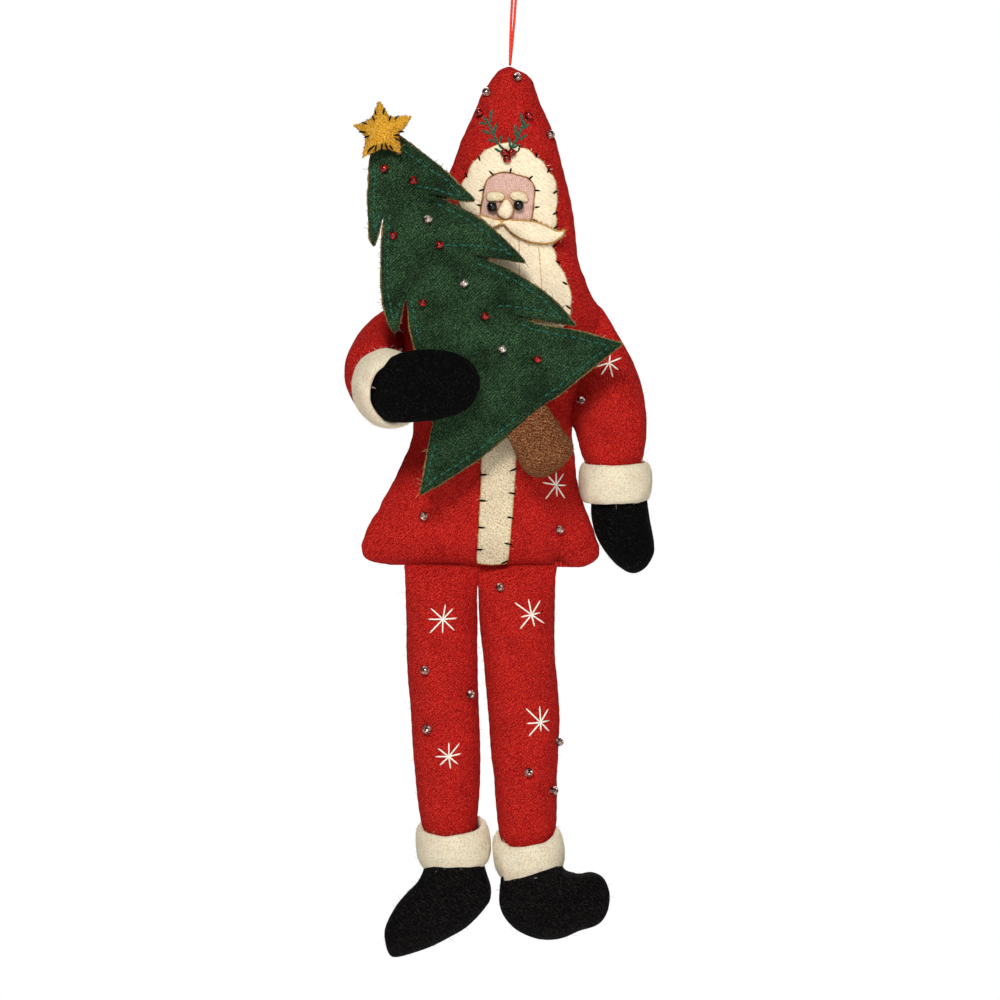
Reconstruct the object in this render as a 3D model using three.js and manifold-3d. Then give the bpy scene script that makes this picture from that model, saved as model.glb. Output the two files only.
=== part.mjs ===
// Felt Christmas ornament: a stuffed wool figure in a pointed hood and long coat. It hugs a
// little fir tree, its legs dangle from the hem, and it hangs by a loop of thread.
// Millimetres, +Z up. The front faces -Y, and left and right are those of the viewer.
// The origin is the inside top of the hanging loop.
import * as THREE from 'three';
import { mergeVertices } from 'three/addons/utils/BufferGeometryUtils.js';
import Module from 'manifold-3d';

const wasm = await Module();
wasm.setup();

// Driving sizes
const clearance = 0.3; // between two pieces that touch
const overrun = 6; // how far a cutting solid passes what it cuts
const feltThickness = 1.1;
const seamWidth = 2; // from the cut edge of two felts to the stuffing between them
const hingeRound = 0.8; // half thickness of a felt seam that bends as a hinge

const threadThickness = 0.7;
const loopRise = 0.4; // between the crown and the ends of the thread
// The thread's route, up one strand from the crown, over the top and down the other
const loopRoute = [
  [-3.6, -0.5, -60], [-3.49, -0.43, -54], [-3.31, -0.25, -48], [-3.02, 0, -42], [-2.5, 0, -30],
  [-2.28, 0, -18], [-2.48, 0, -8], [-2.57, 0, -4.5], [-2.4, 0, -2.05], [-1.7, 0, -0.35], [0, 0, 0.35],
  [1.7, 0, -0.35], [2.4, 0, -2.05], [2.03, 0, -4.5], [1.52, 0, -8], [0.12, 0, -18], [-1.1, 0, -30],
  [-2.02, 0, -42], [-2.45, 0.25, -48], [-2.99, 0.43, -54], [-3.6, 0.5, -60],
];

const coatLength = 134; // crown of the hood to the hem
const coatWidth = 64; // across the hem
const coatDepth = 11; // from the middle of the stuffed coat to its front

const browThickness = 1.2;
const moustacheThickness = 2.2;
const faceThickness = 0.8;
const noseWidth = 3.6;
const noseHeight = 5.2;
const noseDepth = 3;
const eyeWidth = 2.35;

const beadWidth = 2.3; // a size 11 seed bead
const beadLength = 1.6;
const beadBore = 0.8;

const treeHeight = 84.8;
const treeHalfWidth = 34;
const treeDepth = 4; // of the stuffing to each side of the middle
const treeLean = THREE.MathUtils.degToRad(27.4);
const trunkDepth = 4.6;
const starReach = 8.6;
const starWaist = 4.4;
const starDepth = 1.5;

const armLength = 43.2;
const armDepth = 7.5;
const mittenLength = 26;
const mittenDepth = 7;

const legWidth = 0.3156 * coatWidth; // the two legs fill the hem side by side
const legDepth = 7.5;
const leftLegLength = 73.7;
const rightLegLength = 76.4;
const bootLength = 29.7;

const cuffThickness = 1.3;
const cuffEase = 0.5; // between a limb's end and the cuff round it
const cuffFullness = 0.6; // how far a cuff bulges at its middle
const cuffFlare = 1; // how much wider it opens towards the limb
const cuffTilt = THREE.MathUtils.degToRad(3);
const ankleCuffHeight = 12.6;
const wristCuffHeight = 10.6;

const coatSteps = 9; // flat faces across one side of the coat
const limbSteps = 7;
const cuffSteps = 20;
const loopSteps = 56;
const beadSteps = 8;
const beadTurn = 0.9; // radians between the bores of one bead and the next
const seamPower = 2.5; // how full a stuffed section is between its two seams

// Colours and finishes
const felt = (color) => new THREE.MeshStandardMaterial({ color, roughness: 0.95, metalness: 0 });
const redFelt = felt(0xb81d1f);
const creamFelt = felt(0xe8dcbe);
const pinkFelt = felt(0xd8a9a5);
const greenFelt = felt(0x23452f);
const brownFelt = felt(0x6b4426);
const yellowFelt = felt(0xd39a2d);
const blackFelt = felt(0x151210);
const fibrefill = felt(0xefece4);
const redThread = new THREE.MeshStandardMaterial({ color: 0xd7321e, roughness: 0.7 });
const glass = (color) => new THREE.MeshStandardMaterial({ color, roughness: 0.12, metalness: 0.2 });
const redGlass = glass(0xa80d14);
const silverGlass = glass(0xd9dde0);
const blackGlass = glass(0x050505);

const object = new THREE.Group();
const figure = new THREE.Group();
figure.position.set(loopRoute[0][0], 0, loopRoute[0][2] - loopRise);
object.add(figure);

function place(parent, name, shape, material) {
  const mesh = new THREE.Mesh(geometryOf(shape), material);
  mesh.name = name;
  parent.add(mesh);
  return mesh;
}

// Solids: conversion between three.js geometries and solids that can be cut and joined
const mergeTolerance = clearance / 3000;

function solid(shape) {
  if (!shape.isBufferGeometry) return shape;
  const bare = shape.clone();
  bare.deleteAttribute('normal');
  bare.deleteAttribute('uv');
  const merged = mergeVertices(bare, mergeTolerance);
  return new wasm.Manifold(new wasm.Mesh({
    numProp: 3,
    vertProperties: new Float32Array(merged.attributes.position.array),
    triVerts: new Uint32Array(merged.index.array),
  }));
}

function geometryOf(shape) {
  if (shape.isBufferGeometry) return shape;
  const mesh = shape.getMesh();
  const geometry = new THREE.BufferGeometry();
  geometry.setAttribute('position', new THREE.BufferAttribute(mesh.vertProperties, 3));
  geometry.setIndex(new THREE.BufferAttribute(mesh.triVerts, 1));
  return geometry;
}

const difference = (whole, ...cutters) =>
  cutters.reduce((left, cutter) => left.subtract(solid(cutter)), solid(whole));
const union = (first, second) => solid(first).add(solid(second));
const overlap = (first, second) => solid(first).intersect(solid(second));

// A closed body over rings of equal count, with a point before the first and after the last
function bodyOver(rings, start, end) {
  const count = rings[0].length;
  const points = [...rings.flat(), start, end];
  const faces = [];
  rings.forEach((ring, level) => {
    const low = level * count;
    for (let here = 0; here < count; here += 1) {
      const next = (here + 1) % count;
      if (level === 0) faces.push(points.length - 2, low + next, low + here);
      if (level === rings.length - 1) faces.push(points.length - 1, low + here, low + next);
      else {
        faces.push(low + here, low + next, low + count + here);
        faces.push(low + next, low + count + next, low + count + here);
      }
    }
  });
  return facingOut(points, faces);
}

function facingOut(points, faces) {
  let volume = 0;
  for (let first = 0; first < faces.length; first += 3) {
    const [a, b, c] = faces.slice(first, first + 3).map((corner) => points[corner]);
    volume += a.dot(b.clone().cross(c));
  }
  const geometry = new THREE.BufferGeometry();
  geometry.setFromPoints(points);
  geometry.setIndex(volume > 0 ? faces : faces.toReversed());
  return geometry;
}

// Stuffed pieces
// A section has a centre, a vector to its right-hand seam and one to the middle of its back.
const sectionBetween = ([leftX, leftZ], [rightX, rightZ], depth, y = 0) => ({
  centre: new THREE.Vector3((leftX + rightX) / 2, y, (leftZ + rightZ) / 2),
  side: new THREE.Vector3((rightX - leftX) / 2, 0, (rightZ - leftZ) / 2),
  back: new THREE.Vector3(0, depth, 0),
});

const fullness = (across) => 1 - Math.abs(across) ** seamPower;

function seamedRing({ centre, side, back }, steps) {
  const ring = [];
  for (const face of [-1, 1]) {
    for (let step = 0; step < steps; step += 1) {
      const across = -face * (2 * step / steps - 1);
      const point = centre.clone().addScaledVector(side, across);
      ring.push(point.addScaledVector(back, face * fullness(across)));
    }
  }
  return ring;
}

const stuffed = (sections, steps = limbSteps) =>
  bodyOver(sections.map((section) => seamedRing(section, steps)), sections[0].centre, sections.at(-1).centre);

// The sections of the room inside, where it is deep and wide enough to hold stuffing
function within(sections, wall, edge) {
  const leastShare = 1.5;
  return sections
    .filter(({ side, back }) => back.length() > wall * leastShare && side.length() > edge * leastShare)
    .map(({ centre, side, back }) => ({
      centre: centre.clone(),
      side: side.clone().setLength(side.length() - edge),
      back: back.clone().setLength(back.length() - wall),
    }));
}

// Moves the last section along the line of the last two
function stretchedEnd(sections, distance) {
  const last = sections.at(-1);
  const along = last.centre.clone().sub(sections.at(-2).centre).normalize();
  const centre = last.centre.clone().addScaledVector(along, distance);
  return [...sections.slice(0, -1), { ...last, centre }];
}

const stretchedStart = (sections, distance) => stretchedEnd(sections.toReversed(), distance).toReversed();

// Repeats the last section further out, so that a cutting solid runs past an open end
function prolonged(sections, distance) {
  const last = { ...sections.at(-1), centre: sections.at(-1).centre.clone() };
  const along = last.centre.clone().sub(sections.at(-2).centre).normalize();
  last.centre.addScaledVector(along, distance);
  return [...sections, last];
}

// Felt open at the end of its last section, as at a wrist or an ankle
const openFelt = (sections) =>
  difference(stuffed(sections), stuffed(prolonged(within(sections, feltThickness, seamWidth), overrun)));

// The stuffing inside, clear of the felt; its last section is moved out by a distance
const filling = (sections, endDistance) => stuffed(stretchedEnd(stretchedStart(
  within(sections, feltThickness + clearance, seamWidth + clearance), -clearance), endDistance));

// Coat and hood
// Each row: down, left edge, right edge, depth. The edges follow the coat's width.
const coatShares = [
  [0, -0.006, 0.006, 0.06],
  [0.003, -0.024, 0.024, 0.14],
  [0.014, -0.068, 0.072, 0.26],
  [0.03, -0.089, 0.105, 0.36],
  [0.067, -0.135, 0.131, 0.46],
  [0.147, -0.207, 0.194, 0.6],
  [0.228, -0.266, 0.241, 0.7],
  [0.308, -0.312, 0.274, 0.77],
  [0.389, -0.35, 0.291, 0.84],
  [0.45, -0.414, 0.338, 0.9],
  [0.482, -0.46, 0.374, 0.94],
  [0.508, -0.481, 0.391, 0.97],
  [0.591, -0.454, 0.333, 1],
  [0.714, -0.413, 0.248, 1],
  [0.762, -0.422, 0.253, 0.98],
  [0.812, -0.468, 0.266, 0.94],
  [0.873, -0.536, 0.295, 0.86],
  [0.933, -0.608, 0.342, 0.72],
  [0.97, -0.631, 0.369, 0.5],
  [0.988, -0.624, 0.371, 0.3],
  [1, -0.591, 0.338, 0.08],
];
const shoulderShare = 0.508; // where the arms' seams start, down the coat
const armpitShare = 0.714;

const coatSections = coatShares.map(([down, left, right, depth]) =>
  sectionBetween([left * coatWidth, -down * coatLength], [right * coatWidth, -down * coatLength], depth * coatDepth));
const coatForm = stuffed(coatSections, coatSteps);

// The coat's section at a height, between the two rows round it
function coatAt(z) {
  const below = coatSections.findIndex(({ centre }) => centre.z <= z);
  const [low, high] = [coatSections[below], coatSections[below - 1]];
  const share = (z - low.centre.z) / (high.centre.z - low.centre.z);
  return {
    centre: low.centre.clone().lerp(high.centre, share),
    side: low.side.clone().lerp(high.side, share),
    back: low.back.clone().lerp(high.back, share),
  };
}

// How far in front of the middle plane the coat's front is
function coatFront(x, z) {
  const { centre, side, back } = coatAt(z);
  return back.y * fullness((x - centre.x) / side.x);
}

// A place on the coat's front for a small piece of half its depth, clear of what slopes under it
function onCoat([across, down], lift, halfDepth) {
  const [x, z] = [across * coatWidth, -down * coatLength];
  const reach = halfDepth;
  const around = [[0, 0], [reach, 0], [-reach, 0], [0, reach], [0, -reach]];
  const front = Math.max(...around.map(([dx, dz]) => coatFront(x + dx, z + dz)));
  return new THREE.Vector3(x, -(front + lift + clearance + halfDepth), z);
}

function coat() {
  const room = stuffed(within(coatSections, feltThickness, seamWidth), coatSteps);
  const felts = difference(coatForm, room);
  const half = (face) => new THREE.BoxGeometry(2 * coatLength, 2 * coatDepth, 2 * coatLength + 2 * overrun)
    .translate(0, face * coatDepth, -coatLength / 2);
  place(figure, 'coat_front', overlap(felts, half(-1)), redFelt);
  place(figure, 'coat_back', overlap(felts, half(1)), redFelt);
  const inner = within(coatSections, feltThickness + clearance, seamWidth + clearance);
  const kept = stretchedEnd(stretchedStart(inner, -clearance), -clearance);
  place(figure, 'coat_stuffing', stuffed(kept, coatSteps), fibrefill);
}
coat();

// Felt pieces laid on the coat
// A prism from the middle plane towards the viewer, over an outline in x and z
function prismOver(shape, reach) {
  const prism = new THREE.ExtrudeGeometry(shape, { depth: reach, bevelEnabled: false, curveSegments: 4 });
  return prism.rotateX(Math.PI / 2);
}

// A closed smooth line through points given as shares of the coat's width and length
function smoothOnCoat(shares, count) {
  const points = shares.map(([across, down]) => new THREE.Vector3(across * coatWidth, -down * coatLength, 0));
  const line = new THREE.CatmullRomCurve3(points, true, 'centripetal').getPoints(count).slice(0, count);
  return line.map(({ x, y }) => new THREE.Vector2(x, y));
}

function laidOnCoat(shape, lift, thickness) {
  const outer = coatForm.clone().translate(0, -lift - thickness, 0);
  const inner = coatForm.clone().translate(0, -lift, 0);
  return difference(overlap(outer, prismOver(shape, 2 * coatDepth + lift + thickness)), inner);
}

// The line moved inwards by a distance, point by point
function shrunk(line, distance) {
  return line.map((point, index) => {
    const before = line.at(index - 1);
    const after = line[(index + 1) % line.length];
    const along = after.clone().sub(before).normalize();
    const turn = Math.sign(THREE.ShapeUtils.area(line));
    return point.clone().add(new THREE.Vector2(-along.y, along.x).multiplyScalar(turn * distance));
  });
}

const surroundShares = [
  [-0.008, 0.153], [0.055, 0.161], [0.105, 0.175], [0.148, 0.195], [0.181, 0.218], [0.202, 0.252],
  [0.198, 0.288], [0.202, 0.324], [0.186, 0.361], [0.207, 0.395], [0.245, 0.429], [0.262, 0.471],
  [0.249, 0.514], [0.194, 0.55], [0.093, 0.57], [-0.042, 0.578], [-0.177, 0.57], [-0.291, 0.546],
  [-0.354, 0.51], [-0.363, 0.474], [-0.329, 0.433], [-0.274, 0.393], [-0.249, 0.357], [-0.232, 0.312],
  [-0.224, 0.276], [-0.207, 0.24], [-0.181, 0.21], [-0.135, 0.181], [-0.072, 0.161],
];
const faceShares = [
  [-0.025, 0.215], [0.023, 0.219], [0.072, 0.226], [0.099, 0.24], [0.101, 0.26], [0.093, 0.29],
  [0.084, 0.316], [0.034, 0.33], [-0.025, 0.332], [-0.084, 0.326], [-0.122, 0.312], [-0.12, 0.288],
  [-0.108, 0.252], [-0.097, 0.23], [-0.063, 0.22],
];
const browShares = {
  left: [[-0.1, 0.259], [-0.08, 0.254], [-0.034, 0.255], [-0.022, 0.263], [-0.034, 0.271], [-0.084, 0.273]],
  right: [[0, 0.257], [0.023, 0.253], [0.058, 0.255], [0.075, 0.265], [0.07, 0.269], [0.019, 0.27]],
};
const moustacheShares = [
  [-0.032, 0.312], [0.006, 0.309], [0.079, 0.311], [0.127, 0.314], [0.2, 0.33], [0.23, 0.329],
  [0.228, 0.339], [0.169, 0.359], [0.114, 0.358], [0.062, 0.353], [0.015, 0.341], [-0.021, 0.327],
  [-0.042, 0.326], [-0.072, 0.332], [-0.127, 0.343], [-0.177, 0.346], [-0.228, 0.339], [-0.287, 0.316],
  [-0.266, 0.313], [-0.232, 0.315], [-0.194, 0.306], [-0.135, 0.301], [-0.072, 0.306],
];
const trimShares = [
  [-0.103, 0.586], [0.044, 0.586], [0.025, 0.782], [-0.004, 0.988], [-0.139, 0.988], [-0.122, 0.782],
];
const noseShares = [-0.019, 0.287];
const eyeShares = { left: [-0.076, 0.284], right: [0.034, 0.284] };
const onSurround = clearance + feltThickness; // from the coat to the front of what lies on it
const surroundPoints = 40;
const facePoints = 24;
const moustachePoints = 34;
const browPoints = 9;

function face() {
  const hole = smoothOnCoat(faceShares, facePoints);
  const surround = new THREE.Shape(smoothOnCoat(surroundShares, surroundPoints));
  surround.holes.push(new THREE.Path(hole.toReversed()));
  place(figure, 'face_surround_and_beard', laidOnCoat(surround, clearance, feltThickness), creamFelt);
  const patch = new THREE.Shape(shrunk(hole, clearance));
  place(figure, 'face_patch', laidOnCoat(patch, clearance, faceThickness), pinkFelt);

  const onPatch = clearance + faceThickness;
  for (const [side, shares] of Object.entries(browShares)) {
    const brow = new THREE.Shape(smoothOnCoat(shares, browPoints));
    place(figure, `brow_${side}`, laidOnCoat(brow, onPatch + clearance, browThickness), creamFelt);
  }
  const moustache = new THREE.Shape(smoothOnCoat(moustacheShares, moustachePoints));
  place(figure, 'moustache', laidOnCoat(moustache, onSurround + clearance, moustacheThickness), creamFelt);

  const nose = new THREE.SphereGeometry(1, 10, 7).scale(noseWidth / 2, noseDepth / 2, noseHeight / 2);
  place(figure, 'nose', nose, creamFelt).position.copy(onCoat(noseShares, onPatch, noseDepth / 2));
  for (const [side, shares] of Object.entries(eyeShares)) {
    const eye = place(figure, `eye_${side}`, bead(eyeWidth, eyeWidth), blackGlass);
    eye.position.copy(onCoat(shares, onPatch, eyeWidth / 2));
    eye.rotation.z = Math.PI / 2;
  }
}

function coatTrim() {
  const line = trimShares.map(([across, down]) => new THREE.Vector2(across * coatWidth, -down * coatLength));
  place(figure, 'coat_trim', laidOnCoat(new THREE.Shape(line), clearance, feltThickness), creamFelt);
}

// Beads
// A bead round its bore, which runs along Y
function bead(width, length) {
  const [bore, edge, rim] = [beadBore / 2, width / 2, (width + beadBore) / 4];
  const profile = [[bore, -0.3], [rim, -0.5], [edge, -0.22], [edge, 0.22], [rim, 0.5], [bore, 0.3], [bore, -0.3]];
  const points = profile.map(([radius, share]) => new THREE.Vector2(radius, share * length));
  return new THREE.LatheGeometry(points, beadSteps);
}

// Places on the coat and hood, and the way that each bead's bore points
const coatBeads = [
  { name: 'hood_bead_1', shares: [0.03, 0.023], turn: 0.3, material: silverGlass },
  { name: 'hood_bead_2', shares: [-0.07, 0.053], turn: 1.2, material: silverGlass },
  { name: 'hood_bead_3', shares: [0.15, 0.137], turn: 2.1, material: silverGlass },
  { name: 'sprig_bead_left', shares: [-0.11, 0.094], turn: 0.4, material: redGlass },
  { name: 'sprig_bead_right', shares: [0.076, 0.099], turn: 1.3, material: redGlass },
  { name: 'holly_berry_1', shares: [-0.029, 0.176], turn: 0.8, material: redGlass, lift: onSurround },
  { name: 'holly_berry_2', shares: [0.013, 0.176], turn: 2.2, material: redGlass, lift: onSurround },
  { name: 'holly_berry_3', shares: [-0.009, 0.195], turn: 1.6, material: redGlass, lift: onSurround },
  { name: 'coat_bead_1', shares: [0.276, 0.671], turn: 0.5, material: silverGlass },
  { name: 'coat_bead_2', shares: [-0.361, 0.904], turn: 2.4, material: silverGlass },
  { name: 'coat_bead_3', shares: [0.206, 0.931], turn: 1.1, material: silverGlass },
];

function sewnBead(parent, name, position, turn, material) {
  const mesh = place(parent, name, bead(beadWidth, beadLength), material);
  mesh.position.copy(position);
  mesh.rotation.set(0, turn, Math.PI / 2, 'YXZ');
}

function hoodAndCoatBeads() {
  for (const { name, shares, turn, material, lift = 0 } of coatBeads) {
    sewnBead(figure, name, onCoat(shares, lift, beadWidth / 2), turn, material);
  }
}

// Fir tree
// Its own group: x runs across the tree and z up its middle, from the top downwards.
const treeTopShares = [-0.527, 0.143];
const treeMiddle = -(coatDepth + clearance + feltThickness + clearance + treeDepth + feltThickness + clearance / 2);
const tree = new THREE.Group();
tree.position.set(treeTopShares[0] * coatWidth, treeMiddle, -treeTopShares[1] * coatLength);
tree.rotation.y = -treeLean;
figure.add(tree);

// The outline down the right side, along the foot and up the left side: across, down
const treeShares = [
  [0.02, 0.012], [0.105, 0.029], [0.287, 0.158], [0.363, 0.244], [0.399, 0.316], [0.182, 0.253],
  [0.094, 0.231], [0.275, 0.319], [0.464, 0.47], [0.532, 0.563], [0.401, 0.532], [0.174, 0.46],
  [0.414, 0.578], [0.613, 0.741], [0.66, 0.809], [0.453, 0.755], [0.253, 0.695], [0.586, 0.811],
  [0.915, 0.93], [0.787, 0.939], [0.306, 0.972], [-0.17, 1.001], [-0.473, 1.035], [-0.833, 1.057],
  [-1.053, 1.061], [-0.966, 1.015], [-0.709, 0.885], [-0.484, 0.76], [-0.72, 0.87], [-0.64, 0.75],
  [-0.526, 0.579], [-0.434, 0.484], [-0.56, 0.533], [-0.643, 0.573], [-0.653, 0.538], [-0.501, 0.369],
  [-0.292, 0.219], [-0.383, 0.254], [-0.473, 0.296], [-0.475, 0.267], [-0.376, 0.18], [-0.172, 0.043],
];
// The stuffed middle of the tree: down, middle, half width, depth
const treeCoreShares = [
  [0.03, -0.04, 0.08, 0.1],
  [0.12, -0.08, 0.15, 0.5],
  [0.24, -0.1, 0.19, 0.62],
  [0.36, -0.1, 0.28, 0.8],
  [0.5, -0.12, 0.3, 0.88],
  [0.66, -0.12, 0.42, 1],
  [0.8, -0.1, 0.5, 1],
  [0.9, -0.08, 0.46, 0.9],
  [0.96, -0.06, 0.3, 0.68],
  [1.1, -0.04, 0.24, 0.5],
];
const treeColumns = [-1, -0.75, -0.5, -0.25, 0, 0.25, 0.5, 0.75, 1];
const coreRows = treeCoreShares.map(([down, middle, half, depth]) => ({
  z: -down * treeHeight,
  middle: middle * treeHalfWidth,
  half: half * treeHalfWidth,
  depth: depth * treeDepth,
}));

const treeLine = treeShares.map(([across, down]) => new THREE.Vector2(across * treeHalfWidth, -down * treeHeight));

// A sheet over the tree's rows and columns, between two distances in front of the stuffing
function treeSlab(near, far) {
  const margin = treeHalfWidth / 2;
  const rows = [
    { ...coreRows[0], z: margin, depth: 0 },
    { ...coreRows[0], z: 0, depth: 0 },
    ...coreRows,
    { ...coreRows.at(-1), z: -treeHeight - margin },
  ];
  const columns = [-Infinity, ...treeColumns, Infinity];
  const reach = 2 * treeHalfWidth;
  const point = ({ z, middle, half, depth }, column, distance) => {
    const across = THREE.MathUtils.clamp(column, -1, 1);
    const x = Number.isFinite(column) ? middle + half * column : Math.sign(column) * reach;
    const swell = Number.isFinite(column) ? depth * fullness(across) : 0;
    return new THREE.Vector3(x, -(swell + distance), z);
  };
  const rings = rows.map((row) => [
    ...columns.map((column) => point(row, column, far)),
    ...columns.toReversed().map((column) => point(row, column, near)),
  ]);
  return prismatic(rings);
}

// A closed body over rings whose ends are thin strips, each closed by a band of quads
function prismatic(rings) {
  const count = rings[0].length;
  const points = rings.flat();
  const faces = [];
  for (let level = 0; level + 1 < rings.length; level += 1) {
    for (let here = 0; here < count; here += 1) {
      const next = (here + 1) % count;
      const [a, b, c, d] = [here, next, here + count, next + count].map((point) => point + level * count);
      faces.push(a, b, c, b, d, c);
    }
  }
  const last = (rings.length - 1) * count;
  for (let here = 0; here + 1 < count / 2; here += 1) {
    const [a, b, c, d] = [here, here + 1, count - 1 - here, count - 2 - here];
    faces.push(b, a, c, b, c, d);
    faces.push(last + a, last + b, last + c, last + b, last + d, last + c);
  }
  return facingOut(points, faces);
}

function mirroredInDepth(shape) {
  const mirrored = geometryOf(shape).clone().scale(1, -1, 1);
  return mirrored.setIndex(Array.from(mirrored.index.array).toReversed());
}

function treeFelts() {
  const prism = prismOver(new THREE.Shape(treeLine), 3 * treeDepth);
  const front = overlap(treeSlab(clearance / 2, clearance / 2 + feltThickness), prism);
  place(tree, 'tree_front', front, greenFelt);
  place(tree, 'tree_back', mirroredInDepth(front), greenFelt);
  const heights = coreRows.slice(1, -2);
  const sections = heights.map(({ z, middle, half, depth }) =>
    sectionBetween([middle - half, z], [middle + half, z], depth + clearance / 2));
  const core = within(sections, clearance, seamWidth / 2);
  place(tree, 'tree_stuffing', stuffed(core, treeColumns.length - 1), fibrefill);
}

// The whole tree with a clearance round it, in the figure's frame, to cut what is next to it
function treeEnvelope() {
  const room = clearance / 2 + feltThickness + clearance;
  const grown = 1 + 2 * clearance / treeHalfWidth;
  const shape = new THREE.Shape(treeLine.map((point) => point.clone().multiplyScalar(grown)));
  const front = overlap(treeSlab(-clearance, room), prismOver(shape, 4 * treeDepth));
  const both = union(front, mirroredInDepth(front));
  tree.updateMatrix();
  return geometryOf(both).applyMatrix4(tree.matrix);
}

// The trunk: down the tree, middle, half width and depth. Its first rows lie between the felts.
const trunkShares = [
  [0.925, -0.035, 0.15, 0.2],
  [0.985, -0.035, 0.175, 0.3],
  [1.01, -0.035, 0.19, 0.62],
  [1.06, -0.035, 0.2, 0.95],
  [1.12, -0.03, 0.215, 1],
  [1.16, -0.03, 0.19, 0.75],
  [1.185, -0.035, 0.13, 0.4],
  [1.195, -0.04, 0.06, 0.15],
];

function trunk() {
  const sections = trunkShares.map(([down, middle, half, depth]) => {
    const [x, z] = [middle * treeHalfWidth, -down * treeHeight];
    return sectionBetween([x - half * treeHalfWidth, z], [x + half * treeHalfWidth, z], depth * trunkDepth);
  });
  const whole = stuffed(sections);
  const room = within(sections, feltThickness, seamWidth);
  const felts = difference(whole, stuffed(room));
  const half = (face) => new THREE.BoxGeometry(2 * treeHalfWidth, 2 * trunkDepth, 2 * treeHeight)
    .translate(0, face * (trunkDepth + clearance / 2), -treeHeight);
  place(tree, 'trunk_front', overlap(felts, half(-1)), brownFelt);
  place(tree, 'trunk_back', overlap(felts, half(1)), brownFelt);
  place(tree, 'trunk_stuffing', filling(sections, -clearance), fibrefill);
}

// Star: two puffed felts with stuffing between them
const starPoints = 5;
const starTilt = THREE.MathUtils.degToRad(-32);
const starMiddleShares = [0, 0.016]; // across and down the tree
const starRings = [0.3, 0.6, 0.84, 1];

function starRing(scale, y) {
  const ring = [];
  for (let corner = 0; corner < 2 * starPoints; corner += 1) {
    const angle = starTilt + Math.PI / 2 + corner * Math.PI / starPoints;
    const radius = scale * (corner % 2 === 0 ? starReach : starWaist);
    ring.push(new THREE.Vector3(radius * Math.cos(angle), y, radius * Math.sin(angle)));
  }
  return ring;
}

function star() {
  const swell = (scale) => clearance / 2 + starDepth * (1 - scale ** 2);
  const sheet = () => bodyOver([
    ...starRings.map((scale) => starRing(scale, -swell(scale))),
    ...starRings.toReversed().map((scale) => starRing(scale, -swell(scale) - feltThickness)),
  ], new THREE.Vector3(0, -swell(0), 0), new THREE.Vector3(0, -swell(0) - feltThickness, 0));
  const front = sheet();
  const fill = starRings.slice(0, 2);
  const inner = (scale) => swell(scale) - clearance;
  const stuffing = bodyOver([
    ...fill.map((scale) => starRing(scale, -inner(scale))),
    ...fill.toReversed().map((scale) => starRing(scale, inner(scale))),
  ], new THREE.Vector3(0, -inner(0), 0), new THREE.Vector3(0, inner(0), 0));

  const onTree = new THREE.Group();
  const [across, down] = starMiddleShares;
  const treeFront = clearance / 2 + feltThickness + treeSwell(0, -down * treeHeight - starWaist);
  const behindStar = clearance + clearance / 2 + starDepth + feltThickness;
  onTree.position.set(across * treeHalfWidth, -(treeFront + behindStar), -down * treeHeight);
  tree.add(onTree);
  place(onTree, 'star_front', front, yellowFelt);
  place(onTree, 'star_back', mirroredInDepth(front), yellowFelt);
  place(onTree, 'star_stuffing', stuffing, fibrefill);
}

// Beads sewn on the tree: across, down
const treeBeadShares = {
  red: [[-0.111, 0.095], [0.039, 0.165], [-0.3, 0.293], [-0.019, 0.387], [-0.331, 0.526], [0.039, 0.653], [0.252, 0.852]],
  silver: [[-0.005, 0.301], [0.017, 0.535], [0.042, 0.772]],
};

function treeSwell(x, z) {
  const below = coreRows.findIndex((row) => row.z <= z);
  const [low, high] = [coreRows[below], coreRows[Math.max(below - 1, 0)]];
  const share = below > 0 ? (z - low.z) / (high.z - low.z) : 0;
  const middle = THREE.MathUtils.lerp(low.middle, high.middle, share);
  const half = THREE.MathUtils.lerp(low.half, high.half, share);
  const depth = THREE.MathUtils.lerp(low.depth, high.depth, share);
  return depth * Math.max(0, fullness((x - middle) / half));
}

function treeBeads() {
  for (const [colour, places] of Object.entries(treeBeadShares)) {
    places.forEach(([across, down], index) => {
      const [x, z] = [across * treeHalfWidth, -down * treeHeight];
      const reach = beadWidth / 2;
      const swell = Math.max(...[-reach, 0, reach].map((shift) => treeSwell(x + shift, z)));
      const y = -(clearance / 2 + feltThickness + swell + clearance + beadWidth / 2);
      const turn = index * beadTurn;
      const material = colour === 'red' ? redGlass : silverGlass;
      sewnBead(tree, `tree_bead_${colour}_${index + 1}`, new THREE.Vector3(x, y, z), turn, material);
    });
  }
}

// Cuffs
// A band of felt round the end of a limb, wider where the limb goes in; along points to the hand
function cuff({ centre, side, back }, along, height) {
  const tight = side.length() + cuffEase;
  const [full, wide] = [tight + cuffFullness, tight + cuffFlare];
  const half = height / 2;
  const profile = [
    [wide, -half], [wide + cuffThickness, -half], [full + cuffThickness, 0], [tight + cuffThickness, half],
    [tight, half], [full, 0], [wide, -half],
  ];
  const band = new THREE.LatheGeometry(profile.map(([radius, y]) => new THREE.Vector2(radius, y)), cuffSteps);
  const across = side.clone().normalize();
  const axis = along.clone().addScaledVector(across, -along.dot(across)).normalize();
  const depth = across.clone().cross(axis);
  const placed = new THREE.Matrix4().makeBasis(across, axis, depth).setPosition(centre);
  return band.scale(1, 1, (back.length() + cuffEase) / tight).applyMatrix4(placed);
}

const alongEnd = (sections) => sections.at(-1).centre.clone().sub(sections.at(-2).centre);

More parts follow.
